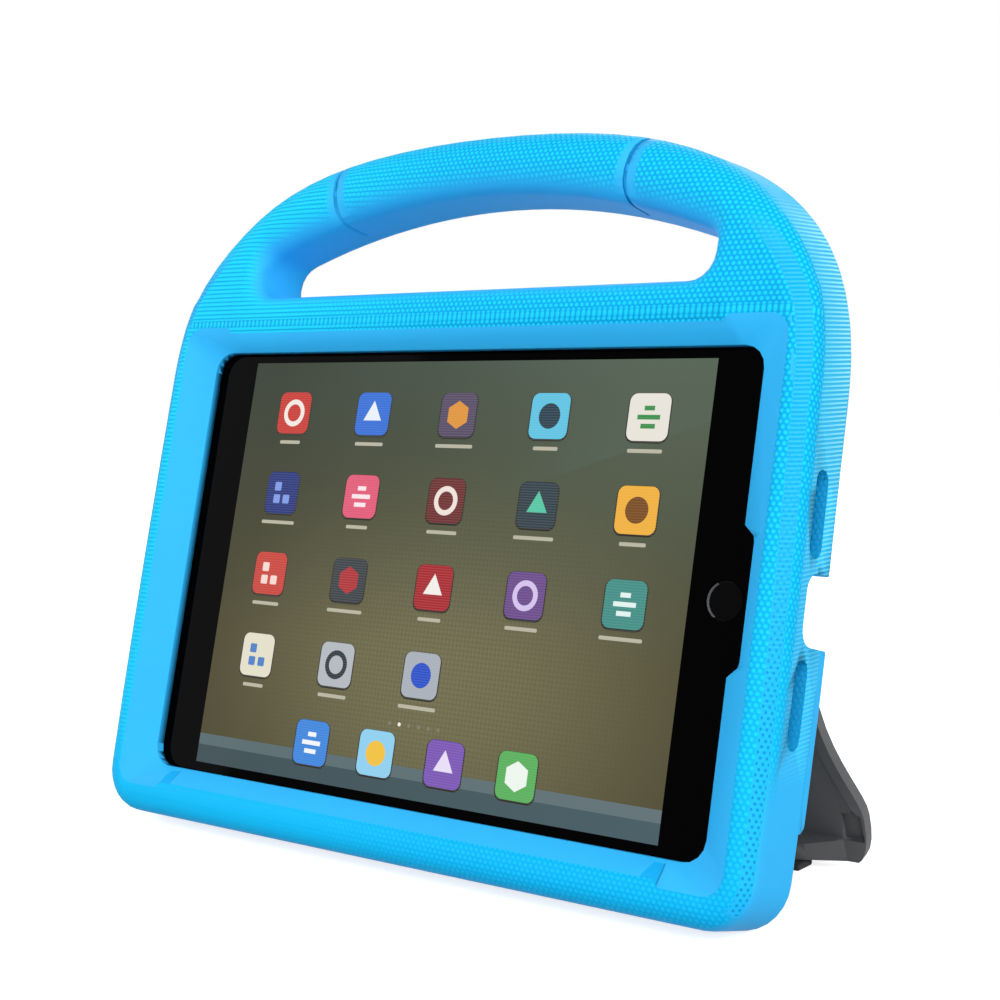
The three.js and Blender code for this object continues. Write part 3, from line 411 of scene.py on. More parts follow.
    def pattern(self, shader: Shader) -> SkinPattern:
        """Return the masks of the moulded pattern, from the mesh's own map and numbers."""
        place = shader.case_place()
        x, y, z = shader.parts(place)
        u, v, _ = shader.parts(shader.node("ShaderNodeUVMap", uv_map="skin").outputs[0])
        names = ("reach", "dotted", "sideways", "hollow")
        reach, engraved, side, hollow = (shader.attribute(name) for name in names)

        narrow = shader.scaled(x, -75.0, -5.0, 0.25, 1.0)
        dot, distance = self.dots(shader, u, v, narrow)
        tall, in_row = self.tall_dots(shader, u, z)
        short = shader.math("SUBTRACT", 1.0, in_row)
        dot = shader.math("MULTIPLY_ADD", tall, in_row, shader.product(dot, short))

        flank = shader.rise(side, 0.62, 0.85)
        ladder = self.ladder(shader, reach, z, flank, engraved)
        line = self.ribs(shader, y, z)
        wall = shader.rise(reach, self.rib_start - 0.5, self.rib_start + 0.3)
        ribbed = shader.product(wall, flank, shader.rise(z, -44.0, -30.0), engraved)
        valley = self.groove(shader, x, z)
        off_wall = shader.math("SUBTRACT", 1.0, shader.product(wall, flank))
        over_foot = shader.math(
            "MAXIMUM", shader.rise(reach, 6.5, 5.0), shader.rise(z, -50.0, -32.0)
        )
        dotted = shader.product(
            engraved,
            shader.math("SUBTRACT", 1.0, ladder),
            off_wall,
            shader.rise(valley, 2.4, 4.0),
            over_foot,
        )
        pits = shader.product(
            ladder,
            shader.rise(distance, 0.52, 0.24),
            shader.scaled(z, -30.0, 50.0, 0.85, 0.0),
        )
        bare = shader.math("SUBTRACT", 1.0, engraved)
        return SkinPattern(
            place=place,
            engraved=engraved,
            hollow=hollow,
            crisp=self.crispness(shader, x, z),
            dot=dot,
            distance=distance,
            dotted=dotted,
            ladder=ladder,
            rungs=shader.product(line, shader.scaled(z, -40.0, 40.0, 0.15, 0.95)),
            pits=pits,
            ribbed=ribbed,
            line=line,
            valley=valley,
            step=shader.product(self.step_mark(shader, x, z), bare, shader.rise(y, 6.0, 3.0)),
        )

    def colour(self, shader: Shader, skin: SkinPattern) -> Socket:
        """Return the foam's colour: its moulded pattern, with painted shade in the slots, along the
        grip's groove and on the bevel's small step, and a painted sheen on the ribbed wall that
        grows towards its top, with a painted highlight towards its back edge.
        """
        _, y, z = shader.parts(skin.place)
        shade = shader.product(shader.noise(skin.place, 0.06), 0.25)
        base = shader.mixed(shade, linear(self.plain), linear(self.raised))
        # Painted shade: the bevel's small arched step is coloured darker, on top of the dent that
        # the bump gives it.
        base = shader.mixed(shader.product(skin.step, 0.75), base, linear(self.sunk))
        soft = shader.math("SUBTRACT", skin.dot, 0.5)
        mean = shader.scaled(z, -72.0, -40.0, 0.32, 0.5)
        soft = shader.math("MULTIPLY_ADD", soft, skin.crisp, mean)
        dots = shader.mixed(soft, linear(self.sunk), linear(self.raised))
        colour = shader.mixed(skin.dotted, base, dots)

        height = shader.scaled(z, -30.0, 50.0, 0.0, 1.0)
        bar = shader.mixed(height, linear(self.low_bar), linear(self.bar))
        bars = shader.mixed(skin.rungs, bar, linear(self.sunk))
        colour = shader.mixed(skin.ladder, colour, bars)
        colour = shader.mixed(skin.pits, colour, linear(self.pit))

        # Painted highlight: the ribs are mixed towards a near-white colour towards the wall's back
        # edge and its top.
        edge = shader.product(shader.scaled(y, 0.0, 13.0, 0.0, 0.7), shader.rise(z, -20.0, 70.0))
        sheen_lit_rib = shader.mixed(edge, linear(self.sheen_lit_rib), linear(self.painted_rib_highlight))
        wall = shader.mixed(skin.line, sheen_lit_rib, linear(self.between))
        # Painted sheen: the ribbed wall's light colours are mixed in more strongly towards its top.
        pale = shader.product(skin.ribbed, shader.scaled(z, -40.0, 60.0, 0.4, 1.0))
        colour = shader.mixed(pale, colour, wall)

        # Painted shade: the foam is coloured darker along the grip's groove.
        painted_groove_shade = shader.product(shader.rise(skin.valley, 0.85, 0.5), skin.engraved, 0.8)
        colour = shader.mixed(painted_groove_shade, colour, linear(self.dark_shade_and_marks))
        # Painted shade: the insides of the slots are coloured darker.
        return shader.mixed(shader.product(skin.hollow, 0.8), colour, linear(self.dark_shade_and_marks))

    def height(self, shader: Shader, skin: SkinPattern, grain: Socket) -> Socket:
        """Return the moulding's height in millimetres."""
        height = shader.product(skin.dot, skin.dotted, skin.crisp, self.dot_rise)
        height = shader.math("MULTIPLY_ADD", grain, self.grain_depth, height)
        cuts = (
            (shader.product(skin.ladder, skin.rungs), self.rung_depth),
            (skin.pits, self.pit_depth),
            (shader.product(skin.ribbed, skin.line), self.rib_depth),
            (skin.step, self.step_depth),
            (shader.product(shader.rise(skin.valley, 4.2, 0.4), skin.engraved), self.groove_depth),
        )
        for mask, depth in cuts:
            height = shader.math("MULTIPLY_ADD", mask, -depth, height)
        return height

    def material(self) -> bpy.types.Material:
        """Return the foam's material."""
        shader = Shader("moulded_foam")
        skin = self.pattern(shader)
        grain = shader.noise(skin.place, 3.2, 3.0)
        return shader.finish(
            Base_Color=self.colour(shader, skin),
            Roughness=shader.scaled(grain, 0.3, 0.7, 0.5, 0.6),
            Specular_IOR_Level=0.06,
            Normal=shader.bump(self.height(shader, skin, grain)),
        )


@dataclass(frozen=True)
class MouldedFinish:
    """Injection-moulded plastic with the fine even grain of a spark-eroded mould."""

    name: str = "stand_plastic"
    colour: str = "#535354"
    worn: str = "#5a5a5b"
    roughness: float = 0.6
    grain: float = 0.02

    def material(self) -> bpy.types.Material:
        """Return the plastic's material."""
        shader = Shader(self.name)
        place = shader.case_place()
        grain = shader.noise(place, 2.6, 3.0)
        cloud = shader.scaled(shader.noise(place, 0.08), 0.35, 0.65, 0.0, 1.0)
        return shader.finish(
            Base_Color=shader.mixed(cloud, linear(self.colour), linear(self.worn)),
            Roughness=shader.scaled(grain, 0.3, 0.7, self.roughness - 0.05, self.roughness + 0.08),
            Specular_IOR_Level=0.35,
            Normal=shader.bump(shader.math("MULTIPLY", grain, self.grain)),
        )


@dataclass(frozen=True)
class RubberFinish:
    """Soft thermoplastic rubber of the foot pads, matt and faintly dusty on its high grain."""

    def material(self) -> bpy.types.Material:
        """Return the rubber's material."""
        shader = Shader("pad_rubber")
        place = shader.case_place()
        grain = shader.noise(place, 1.8, 4.0)
        return shader.finish(
            Base_Color=shader.mixed(grain, linear("#1e1e1f"), linear("#333334")),
            Roughness=shader.scaled(grain, 0.3, 0.7, 0.75, 0.92),
            Specular_IOR_Level=0.35,
            Normal=shader.bump(shader.math("MULTIPLY", grain, 0.05)),
        )


@dataclass(frozen=True)
class MetalFinish:
    """Metal with fine drawn or blasted marks: steel pins and screws, or an anodised shell."""

    name: str
    colour: str
    roughness: float
    stretch: tuple[float, float, float] = (1.0, 1.0, 1.0)

    def material(self) -> bpy.types.Material:
        """Return the metal's material."""
        shader = Shader(self.name)
        place = shader.node(
            "ShaderNodeMapping", {"Vector": shader.case_place(), "Scale": self.stretch}
        ).outputs[0]
        marks = shader.noise(place, 4.0, 3.0)
        dark_shade_and_marks = tuple(0.82 * part for part in linear(self.colour)[:3]) + (1.0,)
        return shader.finish(
            Base_Color=shader.mixed(marks, dark_shade_and_marks, linear(self.colour)),
            Metallic=1.0,
            Roughness=shader.scaled(marks, 0.3, 0.7, self.roughness - 0.06, self.roughness + 0.06),
            Normal=shader.bump(shader.math("MULTIPLY", marks, 0.006)),
        )


@dataclass(frozen=True)
class GlossFinish:
    """Polished black parts: the home button, the lens and the small camera in the border."""

    name: str = "polished_black"
    colour: str = "#020202"

    def material(self) -> bpy.types.Material:
        """Return the polished part's material."""
        shader = Shader(self.name)
        cloud = shader.noise(shader.case_place(), 0.4)
        return shader.finish(
            Base_Color=shader.mixed(cloud, linear(self.colour), linear("#060607")),
            Roughness=shader.scaled(cloud, 0.3, 0.7, 0.08, 0.14),
            Specular_IOR_Level=0.03,
        )


@dataclass(frozen=True)
class ScreenGlassFinish:
    """Cover glass bonded to the lit screen: black printed border round a woven wallpaper."""

    half_width: float = 80.25
    half_height: float = 60.2
    weave_pitch: float = 1.3
    shelf_top: float = -51.8
    shelf_edge: float = -55.0

    def material(self) -> bpy.types.Material:
        """Return the glass's material, with the screen's still picture under its face."""
        shader = Shader("cover_glass")
        place = shader.case_place()
        x, _, z = shader.parts(place)
        inside = shader.product(
            shader.math("LESS_THAN", shader.math("ABSOLUTE", x), self.half_width),
            shader.math("LESS_THAN", shader.math("ABSOLUTE", z), self.half_height),
        )
        picture = self.wallpaper(shader, x, z)
        picture = self.shelf(shader, picture, x, z)
        black = linear("#010101")
        lit = shader.mixed(inside, black, picture)
        return shader.finish(
            Base_Color=black,
            Roughness=0.05,
            Specular_IOR_Level=0.012,
            Emission_Color=lit,
            Emission_Strength=1.0,
        )

    def wallpaper(self, shader: Shader, x: Socket, z: Socket) -> Socket:
        """Return the wallpaper's colour: an olive cloth, cooler towards the top, and cooler past a
        diagonal, where a reflection of light in the glass is painted.
        """
        threads = [
            shader.math("SINE", shader.math("MULTIPLY", value, 2 * math.pi / self.weave_pitch))
            for value in (x, z)
        ]
        weave = shader.scaled(shader.math("ADD", *threads), -2.0, 2.0, 0.0, 1.0)
        across = shader.math("DIVIDE", shader.math("SUBTRACT", x, 5.0), 1.3)
        up = shader.math("ADD", z, 25.0)
        square = shader.math("MULTIPLY_ADD", across, across, shader.math("MULTIPLY", up, up))
        glow = shader.rise(shader.math("SQRT", square), 78.0, 4.0)
        warm = shader.mixed(glow, linear("#514d37"), linear("#7c785a"))
        side = shader.scaled(x, -70.0, 60.0, 0.0, 1.0)
        cool_and_glare = shader.mixed(side, linear("#41493f"), linear("#5a685a"))
        # Painted reflection: past this diagonal the picture turns to the cooler colour, more
        # strongly to the right, for light mirrored in the glass.
        slope = shader.math("MULTIPLY_ADD", x, -0.335, z)
        glare_side = shader.product(
            shader.rise(slope, 16.6, 17.2), shader.scaled(x, -10.0, 40.0, 0.25, 0.9)
        )
        height = shader.scaled(z, -20.0, 60.0, 0.0, 1.0)
        cloth = shader.mixed(shader.math("MAXIMUM", glare_side, height), warm, cool_and_glare)
        threads = shader.scaled(shader.product(weave, glow), 0.0, 1.0, 0.0, 0.3)
        return shader.mixed(threads, cloth, linear("#3f3b28"))

    def shelf(self, shader: Shader, picture: Socket, x: Socket, z: Socket) -> Socket:
        """Return the picture with a plain glassy shelf along its lower edge."""
        on_shelf = shader.math("LESS_THAN", z, self.shelf_top)
        front = shader.math("LESS_THAN", z, self.shelf_edge)
        glow = shader.scaled(x, -80.0, 80.0, 0.0, 1.0)
        top = shader.mixed(glow, linear("#5f7074"), linear("#66767a"))
        face = shader.mixed(glow, linear("#45555a"), linear("#4c6168"))
        return shader.mixed(on_shelf, picture, shader.mixed(front, top, face))


@dataclass(frozen=True)
class PictureFinish:
    """The tiles of the screen's picture, lit from behind, in the colours that the mesh carries."""

    def material(self) -> bpy.types.Material:
        """Return the tiles' material."""
        shader = Shader("screen_tiles")
        tint = shader.node("ShaderNodeAttribute", attribute_name="tint").outputs["Color"]
        _, _, z = shader.parts(shader.case_place())
        wave = shader.math("SINE", shader.math("MULTIPLY", z, 9.0))
        weave = shader.scaled(wave, -1.0, 1.0, 0.0, 0.05)
        return shader.finish(
            Base_Color=linear("#010101"),
            Roughness=0.1,
            Specular_IOR_Level=0.03,
            Emission_Color=shader.mixed(weave, tint, linear("#ffffff")),
            Emission_Strength=1.0,
        )


@dataclass(frozen=True)
class BoardFinish:
    """Parts inside the tablet that only show when it is opened: a circuit board or a foil pouch."""

    name: str
    colour: str
    trace: str

    def material(self) -> bpy.types.Material:
        """Return the part's material, with faint traces or creases."""
        shader = Shader(self.name)
        place = shader.case_place()
        cells = shader.node("ShaderNodeTexVoronoi", {"Vector": place, "Scale": 0.5})
        line = shader.rise(cells.outputs["Distance"], 0.5, 0.42)
        return shader.finish(
            Base_Color=shader.mixed(line, linear(self.trace), linear(self.colour)),
            Roughness=shader.scaled(shader.noise(place, 1.0), 0.3, 0.7, 0.45, 0.65),
        )


def select_only(*pieces: bpy.types.Object) -> None:
    """Select these objects and nothing else, the first one active."""
    bpy.ops.object.select_all(action="DESELECT")
    for piece in pieces:
        piece.select_set(True)
    bpy.context.view_layer.objects.active = pieces[0]


def apply_modifier(piece: bpy.types.Object, kind: str, **settings: object) -> None:
    """Add a modifier with its settings, and apply it.

    Args:
        piece: The object that gets the modifier.
        kind: The modifier's type name.
        **settings: Attributes of the modifier.
    """
    modifier = piece.modifiers.new(kind.lower(), kind)
    for key, value in settings.items():
        setattr(modifier, key, value)
    select_only(piece)
    bpy.ops.object.modifier_apply(modifier=modifier.name)


@dataclass
class SmoothCopy:
    """A copy of a CAD node with its corners merged and its round faces smooth."""

    node: str
    name: str
    body: str
    slot: str
    sharp_degrees: float = 32.0
    edge_round: float = 0.0
    edge_steps: int = 2

    def build(self, frame: dict, material: bpy.types.Material) -> bpy.types.Object:
        """Make the copy, dress it, and let it stand for its node.

        Args:
            material: The copy's finish.

        Returns:
            The new object.
        """
        return self.complete(self.start(frame), material)

    def start(self, frame: dict) -> bpy.types.Object:
        """Return the copy with its corners merged."""
        mesh = frame["nodes"][self.node].data.copy()
        piece = bpy.data.objects.new(self.name, mesh)
        bpy.context.scene.collection.objects.link(piece)
        select_only(piece)
        bpy.ops.object.mode_set(mode="EDIT")
        bpy.ops.mesh.select_all(action="SELECT")
        bpy.ops.mesh.remove_doubles(threshold=0.002 * MM)
        if self.edge_round > 0:
            bpy.ops.mesh.dissolve_limited(angle_limit=math.radians(0.05))
        bpy.ops.object.mode_set(mode="OBJECT")
        return piece

    def complete(self, piece: bpy.types.Object, material: bpy.types.Material) -> bpy.types.Object:
        """Round the copy's edges, smooth its faces, dress it, and let it stand for its node."""
        if self.edge_round > 0:
            apply_modifier(
                piece,
                "BEVEL",
                width=self.edge_round * MM,
                segments=self.edge_steps,
                limit_method="ANGLE",
                angle_limit=math.radians(self.sharp_degrees),
                use_clamp_overlap=False,
                harden_normals=False,
            )
        select_only(piece)
        bpy.ops.object.shade_smooth_by_angle(angle=math.radians(self.sharp_degrees))
        apply_modifier(piece, "WEIGHTED_NORMAL", keep_sharp=True, weight=80)
        piece.data.materials.clear()
        piece.data.materials.append(material)
        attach(piece, self.body)
        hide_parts(self.node)
        faces = len(piece.data.polygons)
        LOG.info("%s stands for %s with %d faces", self.name, self.node, faces)
        return piece


class Skin(Enum):
    """Where a face of the foam lies, which decides how the mould leaves it."""

    FRONT = "front"
    OUTSIDE = "outside"
    OPENING = "opening"
    PLAIN = "plain"
    HOLLOW = "hollow"


@dataclass
class FoamBody:
    """The one-piece foam frame: handle, window, walls and back, with its moulded skin."""

    half_width: float = 110.2
    bottom: float = -77.3
    shoulder: float = 52.0
    shoulder_pull: float = 58.0
    crown_pull: float = 68.0
    top: float = 125.5
    foot_corner: float = 13.0
    side_bulge: float = 1.2
    front: float = -8.5
    side_round: float = 5.5
    grip_round: float = 9.5
    grip_from: float = 67.4
    grip_full: float = 106.8
    window: tuple[float, float] = (103.8, 69.3)
    opening_middle: tuple[float, float] = (0.0, 93.0)
    opening_round: float = 4.5
    under_round: float = 7.5
    wall_back: float = 13.0
    slot_height: float = 22.8
    slot_half: float = 10.9
    slot_middle: float = 4.1
    slot_reach: float = 3.2
    grip_under: float = 84.0
    largest_move: float = 0.35
    outline: np.ndarray = field(init=False)
    outward: np.ndarray = field(init=False)

    def __post_init__(self) -> None:
        """Trace the case's outline, with the outward direction at each of its points."""
        right = np.vstack([self._foot(), self._side(), self._crown()])
        left = right[::-1] * (-1, 1)
        self.outline = np.vstack([right, left[1:]])
        along = np.roll(self.outline, -1, axis=0) - np.roll(self.outline, 1, axis=0)
        along /= np.linalg.norm(along, axis=1)[:, None]
        self.outward = np.column_stack([along[:, 1], -along[:, 0]])

    def _foot(self) -> np.ndarray:
        """Return the flat foot from its middle and its corner, as points (x, z)."""
        flat = np.linspace(0, self.half_width - self.foot_corner, 40, endpoint=False)
        turn = np.linspace(-np.pi / 2, 0, 24, endpoint=False)
        centre = (self.half_width - self.foot_corner, self.bottom + self.foot_corner)
        corner = np.column_stack([np.cos(turn), np.sin(turn)]) * self.foot_corner + centre
        return np.vstack([np.column_stack([flat, np.full_like(flat, self.bottom)]), corner])

    def _side(self) -> np.ndarray:
        """Return the slightly full side wall, as points (x, z)."""
        low = self.bottom + self.foot_corner
        t = np.linspace(0, 1, 50, endpoint=False)
        fullness = 2 * t * (1 - t) * self.side_bulge
        return np.column_stack([self.half_width + fullness, low + t * (self.shoulder - low)])

    def _crown(self) -> np.ndarray:
        """Return the arch from the shoulder to the top's middle, as points (x, z)."""
        t = np.linspace(0, 1, 140)[:, None]
        start = np.array([self.half_width, self.shoulder])
        pull = np.array([self.half_width, self.shoulder + self.shoulder_pull])
        ease = np.array([self.crown_pull, self.top])
        end = np.array([0.0, self.top])
        return (
            (1 - t) ** 3 * start
            + 3 * (1 - t) ** 2 * t * pull
            + 3 * (1 - t) * t**2 * ease
            + t**3 * end
        )

    def rounding(self, z: np.ndarray) -> np.ndarray:
        """Return the radius of the front's outer edge at each height."""
        t = np.clip((z - self.grip_from) / (self.grip_full - self.grip_from), 0, 1)
        return self.side_round + (self.grip_round - self.side_round) * t * t * (3 - 2 * t)

    def kind(self, centre: np.ndarray, normal: np.ndarray) -> Skin:
        """Return where a face lies.

        Args:
            centre: The face's middle in case millimetres.
            normal: The face's direction in the case frame.

        Returns:
            The face's place on the foam.
        """
        x, y, z = centre
        if normal[1] < -0.99 and y < self.front + 0.05:
            return Skin.FRONT
        if abs(x) < self.window[0] and abs(z) < self.window[1] and y > self.front:
            return Skin.PLAIN
        inset = self.depth_inside(np.array([[x, z]]))[0]
        if self.in_slot(centre) and inset > 0.1:
            return Skin.HOLLOW
        if y > self.wall_back or abs(normal[1]) > 0.995:
            return Skin.PLAIN
        middle_x, middle_z = self.opening_middle
        if normal[0] * (x - middle_x) + normal[2] * (z - middle_z) < 0:
            return Skin.HOLLOW if z < self.window[1] else Skin.OPENING
        past_edge = y > self.front + self.side_round
        if z < self.shoulder and past_edge and inset > 0.25:
            return Skin.HOLLOW
        return Skin.OUTSIDE

    def in_slot(self, centre: np.ndarray) -> bool:
        """Return whether a face lies in one of the two blind slots of the right wall."""
        x, y, z = centre
        beside = abs(abs(z) - self.slot_height) < self.slot_half
        return x > 0 and beside and abs(y - self.slot_middle) < self.slot_reach

    def nearest(self, points: np.ndarray) -> np.ndarray:
        """Return the index of the outline's nearest point to each point (x, z)."""
        gap = points[:, None, :] - self.outline[None, :, :]
        return np.argmin((gap**2).sum(axis=2), axis=1)

    def depth_inside(self, points: np.ndarray) -> np.ndarray:
        """Return how far inside the outline each point (x, z) lies."""
        index = self.nearest(points)
        gap = self.outline[index] - points
        return (gap * self.outward[index]).sum(axis=1)

    def build(self, frame: dict, material: bpy.types.Material) -> bpy.types.Object:
        """Make the foam body's smooth copy and mark its skin.

        Args:
            material: The foam's finish.

        Returns:
            The foam body.
        """
        copy = SmoothCopy("foam_body", "foam_shell", CASE_BODY, "foam", sharp_degrees=30.0)
        piece = copy.start(frame)
        self.refine(piece)
        copy.complete(piece, material)
        self.mark(piece.data)
        return piece

    def case_points(self, mesh: bpy.types.Mesh) -> np.ndarray:
        """Return the mesh's points in case millimetres."""
        matrix = np.array(CASE.to_case())
        points = np.empty(len(mesh.vertices) * 3)
        mesh.vertices.foreach_get("co", points)
        return points.reshape(-1, 3) @ matrix[:3, :3].T + matrix[:3, 3]

    def refine(self, piece: bpy.types.Object) -> None:
        """Cut the arch's faces finer and set the new corners on the true outline."""
        points = self.case_points(piece.data)
        turn = np.array(CASE.to_case())[:3, :3] * MM
        select_only(piece)
        bpy.ops.object.mode_set(mode="EDIT")
        bpy.ops.mesh.select_mode(type="FACE")
        bpy.ops.mesh.select_all(action="DESELECT")
        bpy.ops.object.mode_set(mode="OBJECT")
        for face in piece.data.polygons:
            centre = points[list(face.vertices)].mean(axis=0)
            if centre[2] > self.shoulder:
                face.select = self.kind(centre, turn @ np.array(face.normal)) is Skin.OUTSIDE
        bpy.ops.object.mode_set(mode="EDIT")
        bpy.ops.mesh.subdivide(number_cuts=2)
        bpy.ops.object.mode_set(mode="OBJECT")
        self.fit_outline(piece.data)

    def fit_outline(self, mesh: bpy.types.Mesh) -> None:
        """Move the selected corners outwards to the true outline and its rounding."""
        points = self.case_points(mesh)
        flat = points[:, [0, 2]]
        radius = self.rounding(points[:, 2])
        rest = np.clip(radius - (points[:, 1] - self.front), 0, None)
        short = self.depth_inside(flat) - (radius - np.sqrt(np.maximum(radius**2 - rest**2, 0)))
        outward = self.outward[self.nearest(flat)]
        back = CASE.to_scene()
        for vertex, point, gap, way in zip(mesh.vertices, points, short, outward):
            if vertex.select and abs(gap) < self.largest_move:
                moved = (point[0] + way[0] * gap, point[1], point[2] + way[1] * gap)
                vertex.co = back @ Vector(moved)

    def mark(self, mesh: bpy.types.Mesh) -> None:
        """Give the mesh its unrolled skin map and its numbers for the finish.

        The map unrolls the rounded edge and the wall outwards from the front face, so that the
        pattern keeps its size round the edge. "reach" is the distance along the surface from where
        the rounding starts, "dotted" is 1 where the mould is engraved, "sideways" is how far the
        outline faces left or right, and "hollow" is 1 in the slots.

        Args:
            mesh: The foam's mesh, in scene metres.
        """
        points = self.case_points(mesh)
        flat = points[:, [0, 2]]
        index = self.nearest(flat)
        outward = self.outward[index]
        radius = self.rounding(points[:, 2])
        depth = points[:, 1] - self.front
        angle = np.arcsin(np.clip(1 - depth / radius, -1, 1)) * (depth < radius)
        reach = radius * (np.pi / 2 - angle) + np.maximum(depth - radius, 0)
        edge = flat - outward * (radius * np.cos(angle))[:, None]
        unrolled = edge + outward * reach[:, None]

        turn = np.array(CASE.to_case())[:3, :3] * MM
        corners = len(mesh.loops)
        uv = np.zeros((corners, 2))
        marks = {name: np.zeros(corners) for name in ("reach", "dotted", "sideways", "hollow")}
        for polygon in mesh.polygons:
            vertices = list(polygon.vertices)
            loops = list(polygon.loop_indices)
            centre = points[vertices].mean(axis=0)
            kind = self.kind(centre, turn @ np.array(polygon.normal))
            uv[loops] = flat[vertices]
            marks["reach"][loops] = -2.0
            marks["sideways"][loops] = np.abs(outward[vertices, 0])
            if kind is Skin.FRONT:
                marks["dotted"][loops] = 1.0
                inside = np.abs(depth[vertices]) < 0.05
                near = self.depth_inside(flat[vertices]) - radius[vertices]
                marks["reach"][loops] = np.where(inside, -np.clip(near, 0.0, 2.0), 0.0)
            elif kind is Skin.OUTSIDE:
                marks["dotted"][loops] = 1.0
                marks["reach"][loops] = reach[vertices]
                uv[loops] = unrolled[vertices]
            elif kind is Skin.OPENING:
                wide = self.opening_round if centre[2] < self.grip_under else self.under_round
                fade = 1 - np.clip(depth[vertices] / (0.35 * wide), 0, 1)
                marks["dotted"][loops] = fade
            elif kind is Skin.HOLLOW:
                across = np.abs(turn @ np.array(polygon.normal))
                uv[loops] = np.delete(points[vertices], np.argmax(across), axis=1)
                if self.in_slot(centre):
                    marks["dotted"][loops] = 1.0
                    marks["hollow"][loops] = 1.0
        layer = mesh.uv_layers.new(name="skin")
        layer.data.foreach_set("uv", uv.ravel())
        for name, values in marks.items():
            attribute = mesh.attributes.new(name, "FLOAT", "CORNER")
            attribute.data.foreach_set("value", values)


class Glyph(Enum):
    """The plain sign on a screen tile."""

    DISC = "disc"
    RING = "ring"
    BARS = "bars"
    PEAK = "peak"
    SQUARES = "squares"
    STONE = "stone"


@dataclass(frozen=True)
class Tile:
    """A screen tile: its colours and its sign."""

    face: str
    sign: str
    glyph: Glyph


